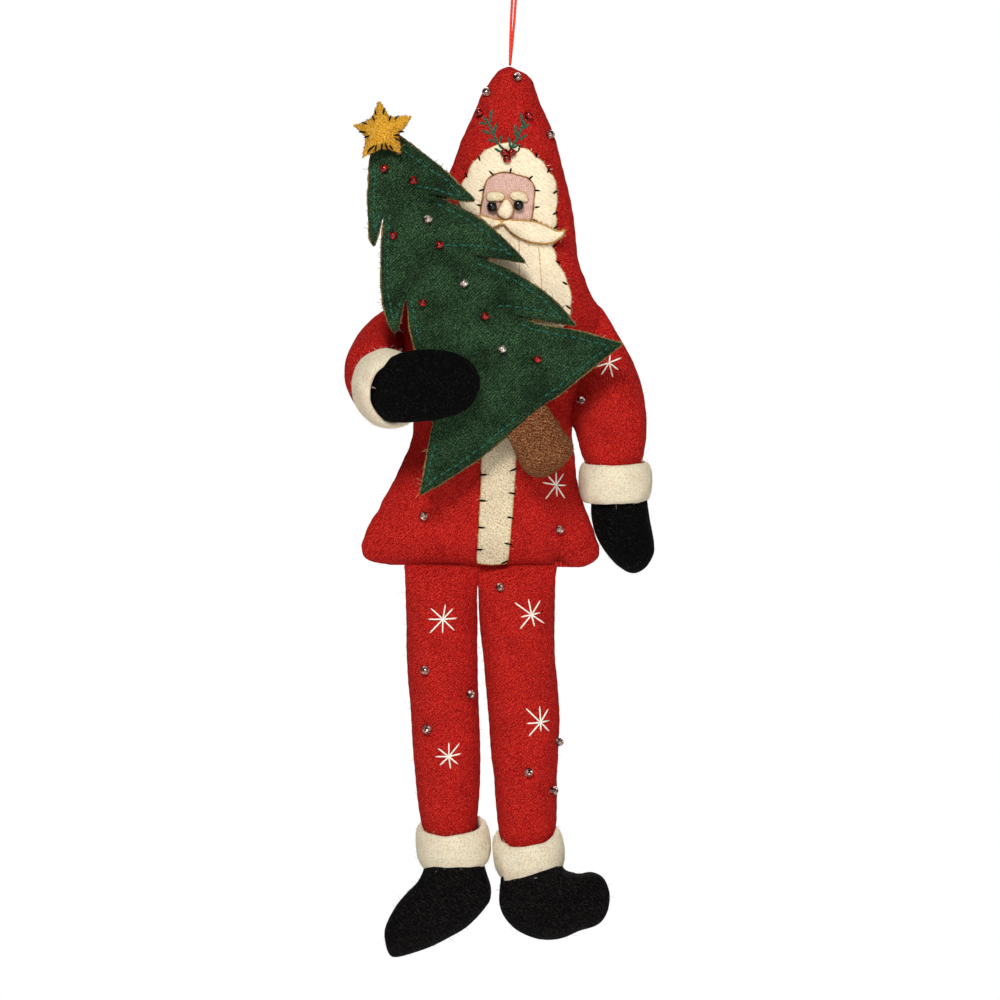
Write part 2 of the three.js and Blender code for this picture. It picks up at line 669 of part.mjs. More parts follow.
// Hanging arm
// Its seam runs along the coat's edge from the armpit to the shoulder, a hinge's room away.
const coatEdge = (down, sign) => {
  const { centre, side } = coatAt(-down * coatLength);
  return centre.clone().addScaledVector(side, sign);
};
const armpit = coatEdge(armpitShare, 1);
const shoulder = coatEdge(shoulderShare, 1);
const outward = new THREE.Vector3(0, 1, 0).cross(shoulder.clone().sub(armpit)).normalize();
const armRoom = hingeRound + clearance;
const armSeamFoot = armpit.clone().addScaledVector(outward, armRoom);
const armSeamTop = shoulder.clone().addScaledVector(outward, armRoom);

// From the foot of the seam, in arm lengths: inner edge, outer edge, depth
const hangingArmShares = [
  [0.019, -0.019, 0.269, 0.562, 0.35],
  [0.037, -0.044, 0.35, 0.438, 0.61],
  [0.056, -0.075, 0.419, 0.269, 0.85],
  [0.075, -0.125, 0.456, 0.1, 0.97],
  [0.092, -0.194, 0.459, -0.087, 1],
  [0.106, -0.269, 0.441, -0.244, 1],
  [0.106, -0.356, 0.438, -0.356, 0.98],
];
// From the middle of the wrist, in mitten lengths: inner edge, outer edge, depth
const mittenShares = [
  [-0.262, 0, 0.262, 0, 0.92],
  [-0.26, -0.235, 0.268, -0.235, 0.94],
  [-0.27, -0.29, 0.325, -0.29, 1],
  [-0.255, -0.417, 0.354, -0.448, 0.97],
  [-0.214, -0.583, 0.391, -0.635, 0.88],
  [-0.13, -0.74, 0.38, -0.792, 0.72],
  [-0.021, -0.875, 0.307, -0.917, 0.48],
  [0.089, -0.958, 0.234, -0.969, 0.18],
];

// Sections given as two edge points and a depth, in a length measured from one point
const sectionsFrom = (start, rows, length, depth) => rows.map(([leftX, leftZ, rightX, rightZ, share]) =>
  sectionBetween([start.x + leftX * length, start.z + leftZ * length],
    [start.x + rightX * length, start.z + rightZ * length], share * depth));

// The round end of a hinged limb: towards the coat and half depth, as shares of the round's radius
const roundShares = [[0.96, 0.28], [0.7, 0.72]];
const roundOver = (seam, towards) => roundShares.map(([near, depth]) => ({
  centre: seam.centre.clone().addScaledVector(towards, near * hingeRound),
  side: seam.side.clone(),
  back: seam.back.clone().setLength(depth * hingeRound),
}));

function hangingArm() {
  const seam = sectionBetween([armSeamFoot.x, armSeamFoot.z], [armSeamTop.x, armSeamTop.z], hingeRound);
  const rounded = roundOver(seam, outward.clone().negate());
  const sections = [...rounded, seam, ...sectionsFrom(armSeamFoot, hangingArmShares, armLength, armDepth)];
  const wrist = sections.at(-1);
  const mittenStart = wrist.centre.clone().setZ(wrist.centre.z - clearance);
  const mitten = sectionsFrom(mittenStart, mittenShares, mittenLength, mittenDepth);
  place(figure, 'hanging_arm_felt', openFelt(sections), redFelt);
  place(figure, 'hanging_mitten_felt', openFelt(mitten.toReversed()), blackFelt);
  place(figure, 'hanging_arm_cuff', cuff(wrist, alongEnd(sections), wristCuffHeight), creamFelt);
  place(figure, 'hanging_arm_stuffing', joinedFilling(sections, mitten), fibrefill);
}

// One stuffing for a limb and the mitten or boot at its end, which runs on through the open ends
function joinedFilling(limb, end) {
  const join = 2 * feltThickness;
  return union(filling(limb, 0), filling(end.toReversed(), join));
}

// Holding arm
// Its elbow turns the forearm towards the viewer, and the mitten lies on the front of the tree.
const leftSeamFoot = coatEdge(armpitShare, -1);
const leftSeamTop = coatEdge(shoulderShare, -1);
// The mitten's flat side presses on the tree, so its middle is nearer than its full depth.
const holdingGrip = 0.7 * mittenDepth;
const holdForward = -treeMiddle + clearance / 2 + feltThickness + treeDepth + clearance + holdingGrip;
// Right, up, half height, half depth in arm lengths, forward as a share of the mitten's, and the
// angle that the arm has turned from the left to the front and on to the right
const holdingArmShares = [
  { right: -0.069, up: -0.006, forward: 0.02, half: 0.31, depth: 0.1, turn: 10 },
  { right: -0.156, up: -0.006, forward: 0.09, half: 0.315, depth: 0.146, turn: 30 },
  { right: -0.215, up: -0.038, forward: 0.23, half: 0.295, depth: 0.165, turn: 55 },
  { right: -0.22, up: -0.069, forward: 0.385, half: 0.262, depth: 0.17, turn: 80 },
  { right: -0.2, up: -0.106, forward: 0.5, half: 0.2, depth: 0.155, turn: 98 },
  { right: -0.144, up: -0.131, forward: 0.7, half: 0.185, depth: 0.15, turn: 112 },
];
const holdingMittenShares = [
  { right: -0.139, up: -0.131, forward: 0.711, half: 0.165, depth: 0.13, turn: 112 },
  { right: -0.09, up: -0.12, forward: 0.885, half: 0.182, depth: 0.116, turn: 126 },
  { right: 0, up: -0.11, forward: 0.94, half: 0.212, depth: 0.12, turn: 152 },
  { right: 0.075, up: -0.106, forward: 0.968, half: 0.226, depth: 0.118, turn: 168 },
  { right: 0.162, up: -0.1, forward: 0.985, half: 0.226, depth: 0.116, turn: 178 },
  { right: 0.288, up: -0.094, forward: 1, half: 0.206, depth: 0.11, turn: 180 },
  { right: 0.388, up: -0.094, forward: 0.995, half: 0.165, depth: 0.095, turn: 180 },
  { right: 0.45, up: -0.09, forward: 0.985, half: 0.11, depth: 0.065, turn: 180 },
  { right: 0.487, up: -0.088, forward: 0.975, half: 0.05, depth: 0.028, turn: 180 },
];

function turnedSections(start, rows) {
  return rows.map(({ right, up, forward, half, depth, turn }) => {
    const angle = THREE.MathUtils.degToRad(turn);
    const offset = new THREE.Vector3(right * armLength, -forward * holdForward, up * armLength);
    return {
      centre: start.clone().add(offset),
      side: new THREE.Vector3(0, 0, half * armLength),
      back: new THREE.Vector3(-Math.sin(angle), Math.cos(angle), 0).multiplyScalar(depth * armLength),
    };
  });
}

function holdingArm() {
  const middle = leftSeamFoot.clone().lerp(leftSeamTop, 0.5);
  const alongSeam = leftSeamTop.clone().sub(leftSeamFoot);
  const leftwards = alongSeam.clone().cross(new THREE.Vector3(0, 1, 0)).normalize();
  const seam = {
    centre: middle.clone().addScaledVector(leftwards, clearance),
    side: alongSeam.multiplyScalar(0.5),
    back: new THREE.Vector3(0, hingeRound, 0),
  };
  const sections = [seam, ...turnedSections(middle, holdingArmShares)];
  const mitten = turnedSections(middle, holdingMittenShares);
  const wrist = sections.at(-1);
  const room = treeEnvelope();
  const clearOfTree = (geometry) => difference(geometry, room);
  const band = cuff(wrist, alongEnd(sections), wristCuffHeight);
  place(figure, 'holding_arm_felt', clearOfTree(openFelt(sections)), redFelt);
  place(figure, 'holding_mitten_felt', clearOfTree(openFelt(mitten.toReversed())), blackFelt);
  place(figure, 'holding_arm_cuff', clearOfTree(band), creamFelt);
  place(figure, 'holding_arm_stuffing', clearOfTree(joinedFilling(sections, mitten)), fibrefill);
}

// Legs
// Down the leg, half width and depth. The first row is the hinge seam at the hem.
const legShares = [
  [0, 0.485, hingeRound / legDepth],
  [0.028, 0.49, 0.4],
  [0.06, 0.49, 0.66],
  [0.11, 0.485, 0.86],
  [0.2, 0.475, 1],
  [0.4, 0.46, 1],
  [0.6, 0.45, 1],
  [0.8, 0.43, 0.97],
  [0.92, 0.37, 0.9],
  [1, 0.35, 0.86],
];
// From the middle of the ankle, in boot lengths: left edge, right edge, depth as a share
const bootShares = {
  left: [
    [-0.235, 0, 0.235, 0, 0.21],
    [-0.228, -0.235, 0.235, -0.23, 0.21],
    [-0.245, -0.29, 0.35, -0.285, 0.26],
    [-0.291, -0.409, 0.373, -0.427, 0.285],
    [-0.4, -0.536, 0.364, -0.564, 0.285],
    [-0.518, -0.664, 0.264, -0.709, 0.27],
    [-0.582, -0.791, 0.091, -0.832, 0.24],
    [-0.591, -0.909, -0.109, -0.932, 0.19],
    [-0.559, -1.005, -0.291, -1, 0.13],
    [-0.509, -1.055, -0.418, -1.041, 0.05],
  ],
  right: [
    [-0.235, 0, 0.235, 0, 0.21],
    [-0.235, -0.24, 0.228, -0.225, 0.21],
    [-0.259, -0.36, 0.36, -0.25, 0.27],
    [-0.255, -0.509, 0.491, -0.262, 0.285],
    [-0.164, -0.668, 0.6, -0.265, 0.28],
    [0.055, -0.791, 0.682, -0.285, 0.26],
    [0.273, -0.791, 0.727, -0.345, 0.22],
    [0.464, -0.727, 0.741, -0.427, 0.16],
    [0.609, -0.677, 0.709, -0.555, 0.06],
  ],
};
const legs = {
  left: { hipShare: -0.291, ankleShare: -0.253, length: leftLegLength },
  right: { hipShare: 0.032, ankleShare: 0.076, length: rightLegLength },
};

function leg(side) {
  const { hipShare, ankleShare, length } = legs[side];
  const top = -coatLength - hingeRound - clearance;
  const rows = legShares.map(([down, half, depth]) => {
    const x = THREE.MathUtils.lerp(hipShare, ankleShare, down) * coatWidth;
    const z = top - down * length;
    return sectionBetween([x - half * legWidth, z], [x + half * legWidth, z], depth * legDepth);
  });
  const sections = [...roundOver(rows[0], new THREE.Vector3(0, 0, 1)), ...rows];
  const ankle = sections.at(-1);
  const bootTop = ankle.centre.clone().setZ(ankle.centre.z - clearance);
  const boot = sectionsFrom(bootTop, bootShares[side], bootLength, bootLength);
  const tilted = ankle.side.clone().applyAxisAngle(new THREE.Vector3(0, 1, 0), -cuffTilt);
  place(figure, `${side}_leg_felt`, openFelt(sections), redFelt);
  place(figure, `${side}_boot_felt`, openFelt(boot.toReversed()), blackFelt);
  place(figure, `${side}_ankle_cuff`, cuff({ ...ankle, side: tilted }, alongEnd(sections), ankleCuffHeight), creamFelt);
  place(figure, `${side}_leg_stuffing`, joinedFilling(sections, boot), fibrefill);
}

// Hanging loop
function hangingLoop() {
  const route = new THREE.CatmullRomCurve3(loopRoute.map((point) => new THREE.Vector3(...point)), false, 'centripetal');
  const section = new THREE.Shape().absarc(0, 0, threadThickness / 2, 0, 2 * Math.PI);
  const options = { extrudePath: route, steps: loopSteps, curveSegments: 4, bevelEnabled: false };
  place(object, 'hanging_loop', new THREE.ExtrudeGeometry(section, options), redThread);
}

hangingLoop();
face();
coatTrim();
hoodAndCoatBeads();
treeFelts();
trunk();
star();
treeBeads();
hangingArm();
holdingArm();
leg('left');
leg('right');

export default object;
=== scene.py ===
"""Felt christmas ornament: the looks of a stuffed wool-felt figure that holds a felt fir tree.

The script works in millimetres and in pixels of the 1000 x 1000 picture, and turns both into metres
of the row frame when it makes a mesh.
"""

import math

import bmesh
import bpy
import numpy as np
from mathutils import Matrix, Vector
from mathutils.bvhtree import BVHTree
from mathutils.geometry import delaunay_2d_cdt


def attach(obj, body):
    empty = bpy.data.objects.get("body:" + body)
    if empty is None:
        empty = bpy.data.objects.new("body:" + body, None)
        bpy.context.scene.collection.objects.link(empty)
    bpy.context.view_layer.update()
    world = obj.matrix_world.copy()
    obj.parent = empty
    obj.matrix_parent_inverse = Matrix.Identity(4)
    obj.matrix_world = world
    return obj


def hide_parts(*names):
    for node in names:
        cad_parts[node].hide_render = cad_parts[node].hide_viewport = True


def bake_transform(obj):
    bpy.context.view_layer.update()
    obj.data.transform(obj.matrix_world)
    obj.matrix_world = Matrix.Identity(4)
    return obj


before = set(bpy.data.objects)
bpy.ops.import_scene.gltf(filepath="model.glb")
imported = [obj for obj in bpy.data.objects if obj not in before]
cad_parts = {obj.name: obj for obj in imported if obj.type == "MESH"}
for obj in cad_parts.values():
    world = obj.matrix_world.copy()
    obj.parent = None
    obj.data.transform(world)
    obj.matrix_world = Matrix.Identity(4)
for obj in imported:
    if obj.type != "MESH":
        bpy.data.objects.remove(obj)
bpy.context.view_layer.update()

METRES = 0.001
PIXEL = 0.27  # millimetres in the plane of the figure
PICTURE = 1000  # pixels
CROWN_PIXEL = (510, 67)
CROWN = (-3.6, -60.4)  # x and z of the crown in millimetres
CAMERA_AWAY = 3000  # millimetres
SENSOR = 36  # millimetres

FELT = 1.1  # how thick the felt of the tree is
TREE_PLANE = -17.95  # the y where the two felts of the tree meet
FAR_FRONT = -90  # a y in front of everything
COAT_FRONT = -8  # about the y of the front of the coat and hood
CURVE_STEPS = 12  # short straight steps from one point of a curve to the next
BACK_MAP = 200  # keeps the map of a back felt away from that of its front felt
rng = np.random.default_rng(20)


def at(px, py):
    """The x and z of a pixel, in millimetres."""
    return np.array([(px - CROWN_PIXEL[0]) * PIXEL + CROWN[0], -(py - CROWN_PIXEL[1]) * PIXEL + CROWN[1]])


def places(pixels):
    """The x and z of several pixels, in millimetres."""
    return np.array([at(px, py) for px, py in pixels])


def make_camera():
    """The camera: level, on the middle of the picture, far enough away to keep the sizes true."""
    camera = bpy.data.objects.new("camera", bpy.data.cameras.new("camera"))
    x, z = at(PICTURE / 2, PICTURE / 2)
    camera.location = (x * METRES, -CAMERA_AWAY * METRES, z * METRES)
    camera.rotation_euler = (math.pi / 2, 0, 0)
    camera.data.sensor_width = SENSOR
    camera.data.lens = SENSOR * CAMERA_AWAY / (PICTURE * PIXEL)
    camera.data.clip_end = 20  # metres
    bpy.context.scene.collection.objects.link(camera)
    bpy.context.scene.camera = camera


make_camera()


# Small mathematics
def lattice(cells, seed):
    """A value from -1 to 1 for each cell of space, always the same one for the same cell and seed."""
    mixed = (cells[..., 0] * 73856093) ^ (cells[..., 1] * 19349663)
    mixed ^= (cells[..., 2] * 83492791) ^ (seed * 40503)
    mixed = (mixed ^ (mixed >> 13)) * 1274126177 & 0xFFFFFFFF
    mixed ^= mixed >> 16
    return (mixed & 0xFFFFFF) / 0xFFFFFF * 2 - 1


def noise(points, size, seed=0):
    """Smooth noise from -1 to 1 over points in space, with features of a size."""
    scaled = np.asarray(points, float) / size
    low = np.floor(scaled).astype(np.int64)
    part = scaled - low
    part = part * part * (3 - 2 * part)
    total = np.zeros(scaled.shape[:-1])
    for corner in np.ndindex(2, 2, 2):
        weight = np.prod(np.where(corner, part, 1 - part), axis=-1)
        total += weight * lattice(low + np.array(corner), seed)
    return total


def monotone(where, knots, values):
    """Smooth curve through the values, without overshoot."""
    knots, values = np.asarray(knots, float), np.asarray(values, float)
    if values.ndim == 1:
        return monotone(where, knots, values[:, None])[:, 0]
    step = np.diff(knots)[:, None]
    slope = np.diff(values, axis=0) / step
    tangent = np.zeros_like(values)
    before, after = slope[:-1], slope[1:]
    same = before * after > 0
    tangent[1:-1] = np.where(same, 2 * before * after / np.where(same, before + after, 1), 0)
    tangent[0], tangent[-1] = slope[0], slope[-1]
    index = np.clip(np.searchsorted(knots, where, side="right") - 1, 0, len(knots) - 2)
    share = ((where - knots[index]) / np.diff(knots)[index])[:, None]
    width = step[index]
    square, cube = share**2, share**3
    return (
        (2 * cube - 3 * square + 1) * values[index]
        + (cube - 2 * square + share) * width * tangent[index]
        + (3 * square - 2 * cube) * values[index + 1]
        + (cube - square) * width * tangent[index + 1]
    )


def unit(vectors):
    """Vectors of length 1 that point the same way."""
    length = np.linalg.norm(vectors, axis=-1, keepdims=True)
    return vectors / np.maximum(length, 1e-9)


def bell(distance, width):
    """A smooth bump: 1 at no distance, and almost nothing beyond twice the width."""
    return np.exp(-((distance / width) ** 2))


def walked_along(points):
    """How far along a line each of its points is."""
    return np.concatenate([[0], np.cumsum(np.linalg.norm(np.diff(points, axis=0), axis=1))])


def resampled(points, walked, stops):
    """The places on a line at some stops, where walked gives the stops of its own points."""
    return np.stack([np.interp(stops, walked, points[:, axis]) for axis in range(points.shape[1])], axis=1)


def evenly(points, spacing, closed=True, curved=True):
    """A line through the points, with a point every spacing."""
    points = np.asarray(points, float)
    if curved:
        fine = []
        count = len(points)
        for index in range(count if closed else count - 1):
            if closed:
                a, b, c, d = (points[(index + shift) % count] for shift in (-1, 0, 1, 2))
            else:
                a, b = points[max(index - 1, 0)], points[index]
                c, d = points[index + 1], points[min(index + 2, count - 1)]
            square = 2 * a - 5 * b + 4 * c - d
            cube = 3 * b - a - 3 * c + d
            for share in np.linspace(0, 1, CURVE_STEPS, endpoint=False):
                fine.append(0.5 * (2 * b + (c - a) * share + square * share**2 + cube * share**3))
        if not closed:
            fine.append(points[-1])
        points = np.array(fine)
    if closed:
        points = np.vstack([points, points[:1]])
    walked = walked_along(points)
    count = max(3, int(round(walked[-1] / spacing)))
    line = resampled(points, walked, np.linspace(0, walked[-1], count + 1))
    return line[:-1] if closed else line


def smoothed(line, share):
    """A closed line with each point drawn towards its neighbours."""
    return line + share * (np.roll(line, 1, axis=0) + np.roll(line, -1, axis=0) - 2 * line)


def tangents(line):
    """The way that a closed line runs at each of its points."""
    return unit(np.roll(line, -1, axis=0) - np.roll(line, 1, axis=0))


def unevenness(line, size, seed):
    """Noise along a line in x and z."""
    return noise(np.hstack([line, line[:, :1]]), size, seed)


def distance_to_line(points, line, closed=True):
    """The distance of each point from a line, in the plane."""
    starts = np.asarray(line, float)
    ends = np.roll(starts, -1, axis=0)
    if not closed:
        starts, ends = starts[:-1], ends[:-1]
    best = np.full(len(points), np.inf)
    for start, end in zip(starts, ends):
        along = end - start
        share = np.clip((points - start) @ along / max(along @ along, 1e-12), 0, 1)
        best = np.minimum(best, np.linalg.norm(points - start - share[:, None] * along, axis=1))
    return best


def inside(points, line):
    """Which points lie inside a closed line."""
    result = np.zeros(len(points), bool)
    for (x1, z1), (x2, z2) in zip(line, np.roll(line, -1, axis=0)):
        crosses = (z1 > points[:, 1]) != (z2 > points[:, 1])
        with np.errstate(divide="ignore", invalid="ignore"):
            edge = (x2 - x1) * (points[:, 1] - z1) / (z2 - z1) + x1
        result ^= crosses & (points[:, 0] < edge)
    return result


def raised(flat, y):
    """Points at a y over a drawing in x and z."""
    return np.stack([flat[:, 0], y, flat[:, 1]], 1)


def closeness(points, pixels, width):
    """How close each point is to the nearest of some pixels, from 0 to 1."""
    total = np.zeros(len(points))
    for place in places(pixels):
        total = np.maximum(total, bell(np.linalg.norm(points - place, axis=1), width))
    return total


# Meshes
def make_mesh(name, points, faces, body, corner_uvs=None, point_uvs=None, materials=(), face_materials=None):
    """A smooth mesh in metres from points in millimetres, riding on a body."""
    mesh = bpy.data.meshes.new(name)
    mesh.from_pydata((np.asarray(points) * METRES).tolist(), [], [list(map(int, face)) for face in faces])
    layer = mesh.uv_layers.new(name="cloth")
    if point_uvs is not None:
        index = np.zeros(len(mesh.loops), np.int32)
        mesh.loops.foreach_get("vertex_index", index)
        corner_uvs = np.asarray(point_uvs)[index]
    if corner_uvs is not None:
        layer.data.foreach_set("uv", np.asarray(corner_uvs, np.float32).ravel())
    for material in materials:
        mesh.materials.append(material)
    if face_materials is not None:
        mesh.polygons.foreach_set("material_index", np.asarray(face_materials, np.int32))
    mesh.polygons.foreach_set("use_smooth", np.ones(len(mesh.polygons), bool))
    sorted_mesh = bmesh.new()
    sorted_mesh.from_mesh(mesh)
    bmesh.ops.recalc_face_normals(sorted_mesh, faces=sorted_mesh.faces)
    sorted_mesh.to_mesh(mesh)
    sorted_mesh.free()
    mesh.update()
    made = bpy.data.objects.new(name, mesh)
    bpy.context.scene.collection.objects.link(made)
    if body is not None:
        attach(made, body)
    return made


def woven(rows, columns, start=0, closed=False, ring=True):
    """The faces of a grid of points, row by row. A ring joins its last column to its first."""
    faces = []
    for row in range(rows if closed else rows - 1):
        low, high = start + row * columns, start + (row + 1) % rows * columns
        for step in range(columns if ring else columns - 1):
            after = (step + 1) % columns
            faces.append((low + step, low + after, high + after, high + step))
    return faces


def woven_map(across, along):
    """The map of those faces. The widths have one column more than the grid, for where it closes."""
    across = np.broadcast_to(across, (len(along), np.shape(across)[-1]))
    u = np.stack([across[:-1, :-1], across[:-1, 1:], across[1:, 1:], across[1:, :-1]], axis=2)
    v = np.stack([along[:-1], along[:-1], along[1:], along[1:]], axis=1)[:, None]
    return np.stack([u, np.broadcast_to(v, u.shape)], axis=3).reshape(-1, 2).tolist()


def renumbered(triangles, count):
    """The points that the triangles use, and each point's number among them."""
    used = np.unique(triangles)
    numbers = np.full(count, -1)
    numbers[used] = np.arange(len(used))
    return used, numbers


class Surface:
    """The front of a finished piece, to lay other pieces on."""

    def __init__(self, *objects):
        points, faces = [], []
        for made in objects:
            start = len(points)
            points += [vertex.co / METRES for vertex in made.data.vertices]
            faces += [[corner + start for corner in polygon.vertices] for polygon in made.data.polygons]
        self.tree = BVHTree.FromPolygons(points, faces)

    def struck(self, x, z):
        """Where a line from in front strikes the piece, and the way it faces there."""
        place, normal, _, _ = self.tree.ray_cast(Vector((x, FAR_FRONT, z)), Vector((0, 1, 0)))
        return place, normal

    def front(self, x, z):
        """The y of the front at a place, and the way it faces. Beside the piece it is the nearest place."""
        place, normal = self.struck(x, z)
        if place is None:
            place, normal, _, _ = self.tree.find_nearest(Vector((x, COAT_FRONT, z)))
        return place.y, normal

    def fronts(self, line):
        return np.array([self.front(x, z)[0] for x, z in line])

    def lifted(self, line, lift):
        """Points over the front along a line in x and z."""
        return np.array([(x, self.front(x, z)[0] - lift, z) for x, z in line])


def section(left, right, depth, y=0.0):
    """A section between two pixels, with half its depth in millimetres."""
    (left_x, left_z), (right_x, right_z) = at(*left), at(*right)
    return (
        ((left_x + right_x) / 2, y, (left_z + right_z) / 2),
        ((right_x - left_x) / 2, 0, (right_z - left_z) / 2),
        (0, depth, 0),
    )


def loft(
    name, sections, body, material, spacing=1.0, columns=72, power=2.4, roundness=0.66,
    groove=0.3, pucker=0.1, pitch=3.4, lumps=0.22, dents=(), seed=1, shaping=None,
):
    """A stuffed piece over sections (centre, side, back), with a seam down each side."""
    seam_width, pucker_width, lump_size, small_lump_size = 0.55, 1.7, 11, 4.5
    centres, sides, backs = (np.array([part[index] for part in sections], float) for index in range(3))
    moved = [np.linalg.norm(np.diff(centres + sign * sides, axis=0), axis=1) for sign in (-1, 0, 1)]
    knots = np.concatenate([[0], np.cumsum(np.maximum(np.mean(moved, axis=0), 1e-6))])
    rows = max(8, int(knots[-1] / spacing))
    walked = np.linspace(0, knots[-1], rows + 1)
    packed = monotone(walked, knots, np.hstack([centres, sides, backs]))
    centre, side, back = (packed[:, None, start : start + 3] for start in (0, 3, 6))
    turn = math.pi / 2 + 2 * math.pi * np.arange(columns) / columns
    across = np.cos(turn)
    deep = np.sign(np.sin(turn)) * np.maximum(1 - np.abs(across) ** power, 0) ** roundness
    grid = centre + side * across[None, :, None] + back * deep[None, :, None]

    around = np.roll(grid, -1, axis=1) - np.roll(grid, 1, axis=1)
    normals = unit(np.cross(around, np.gradient(grid, axis=0)))
    outwards = (normals * (grid - centre)).sum(axis=2, keepdims=True).sum(axis=1, keepdims=True)
    normals *= np.where(outwards < 0, -1, 1)

    arcs = np.linalg.norm(np.roll(grid, -1, axis=1) - grid, axis=2)
    walked_round = np.concatenate([np.zeros((rows + 1, 1)), np.cumsum(arcs, axis=1)], axis=1)
    seams = [columns // 4, 3 * columns // 4]
    from_seam = np.min([np.abs(walked_round[:, :-1] - walked_round[:, [seam]]) for seam in seams], axis=0)
    rise = -groove * bell(from_seam, seam_width)
    drift = 1.2 * noise(np.stack([walked] * 3, 1), 7, seed)
    wave = 0.5 + 0.5 * np.cos(2 * math.pi * walked / pitch + drift)
    rise -= pucker * wave[:, None] * bell(from_seam, pucker_width)
    rise += lumps * noise(grid, lump_size, seed) + 0.35 * lumps * noise(grid, small_lump_size, seed + 1)
    for (x, z), depth, width in dents:
        near = np.hypot(grid[..., 0] - x, grid[..., 2] - z)
        rise -= depth * bell(near, width) * (grid[..., 1] < centre[..., 1])
    ends = np.minimum(np.arange(rows + 1), np.arange(rows + 1)[::-1])
    rise *= np.clip(ends / 2, 0, 1)[:, None]
    grid = grid + normals * rise[..., None]
    if shaping is not None:
        grid = shaping(grid)

    points = np.vstack([grid.reshape(-1, 3), grid[0].mean(axis=0), grid[-1].mean(axis=0)])
    u = walked_round - walked_round[:, [columns // 2]]
    faces = woven(rows + 1, columns)
    uvs = woven_map(u, -walked)
    for row, tip, height in ((0, len(points) - 2, 0), (rows, len(points) - 1, walked[-1])):
        for column in range(columns):
            faces.append((row * columns + column, row * columns + (column + 1) % columns, tip))
            uvs += [(u[row, column], -height), (u[row, column + 1], -height), (0, -height)]
    return make_mesh(name, points, faces, body, corner_uvs=uvs, materials=[material])


def filled(outline, holes=(), spacing=0.9, rims=(0.22, 0.55)):
    """Points and triangles over an outline with holes, and how far each point is from an edge."""
    edges_of = [np.asarray(outline)] + [np.asarray(hole) for hole in holes]
    low, high = edges_of[0].min(axis=0), edges_of[0].max(axis=0)
    columns = np.arange(low[0], high[0] + spacing, spacing)
    rows = np.arange(low[1], high[1] + spacing, spacing * 0.866)
    scattered = np.array(
        [(x + (0.5 * spacing if row % 2 else 0), z) for row, z in enumerate(rows) for x in columns]
    )

    def depth_of(points):
        return np.min([distance_to_line(points, line) for line in edges_of], axis=0)

    def within(points):
        kept = inside(points, edges_of[0])
        for hole in edges_of[1:]:
            kept &= ~inside(points, hole)
        return kept

    inner = scattered[within(scattered)]
    inner = inner[depth_of(inner) > rims[-1] + 0.35 * spacing]
    rings = []
    for line in edges_of:
        tangent = tangents(line)
        inwards = np.stack([-tangent[:, 1], tangent[:, 0]], axis=1)
        probe = line + 0.05 * inwards
        if within(probe).mean() < 0.5:
            inwards = -inwards
        for rim in rims:
            ring = line + rim * inwards
            ring = ring[within(ring)]
            rings.append(ring[depth_of(ring) > 0.8 * rim])
    loops, edges, start = [], [], 0
    for line in edges_of:
        loop = list(range(start, start + len(line)))
        loops.append(loop)
        edges += list(zip(loop, loop[1:] + loop[:1]))
        start += len(line)
    points = [Vector(point) for point in np.vstack(edges_of + rings + [inner])]
    placed, _, triangles, origins, _, _ = delaunay_2d_cdt(points, edges, [], 0, 1e-5)
    placed = np.array([tuple(point) for point in placed])
    triangles = np.array([tuple(triangle) for triangle in triangles if len(triangle) == 3])
    triangles = triangles[within(placed[triangles].mean(axis=1))]
    old = {origin: new for new, group in enumerate(origins) for origin in group}
    loops = [[old[index] for index in loop] for loop in loops]
    first, second, third = (placed[triangles[:, corner]] for corner in range(3))
    flipped = np.cross(second - first, third - first) < 0
    triangles[flipped] = triangles[flipped][:, ::-1]
    return placed, triangles, loops, depth_of(placed)


def sheet_piece(name, shape, front, back, body, materials, rim=0.0):
    """A felt piece between two heights over a filled shape. Its edge takes the second material."""
    placed, triangles, loops, depth = shape
    used, numbers = renumbered(triangles, len(placed))
    flat = placed[used]
    points = np.vstack([raised(flat, front[used]), raised(flat, back[used])])
    total = len(used)
    shown = numbers[triangles]
    faces = [tuple(face) for face in shown] + [tuple(face[::-1] + total) for face in shown]
    kinds = [int(flag) for flag in depth[triangles].max(axis=1) < rim] * 2
    for loop in loops:
        kept = [numbers[index] for index in loop if numbers[index] >= 0]
        for here, after in zip(kept, kept[1:] + kept[:1]):
            if here != after:
                faces.append((here, after, after + total, here + total))
                kinds.append(1)
    uvs = np.vstack([flat, flat])
    return make_mesh(name, points, faces, body, point_uvs=uvs, materials=materials, face_materials=kinds)


def rounded(depth, radius):
    """How high a cut edge has risen at a distance inside it, from 0 to 1."""
    share = np.clip(depth / radius, 0, 1)
    return np.sqrt(1 - (1 - share) ** 2)


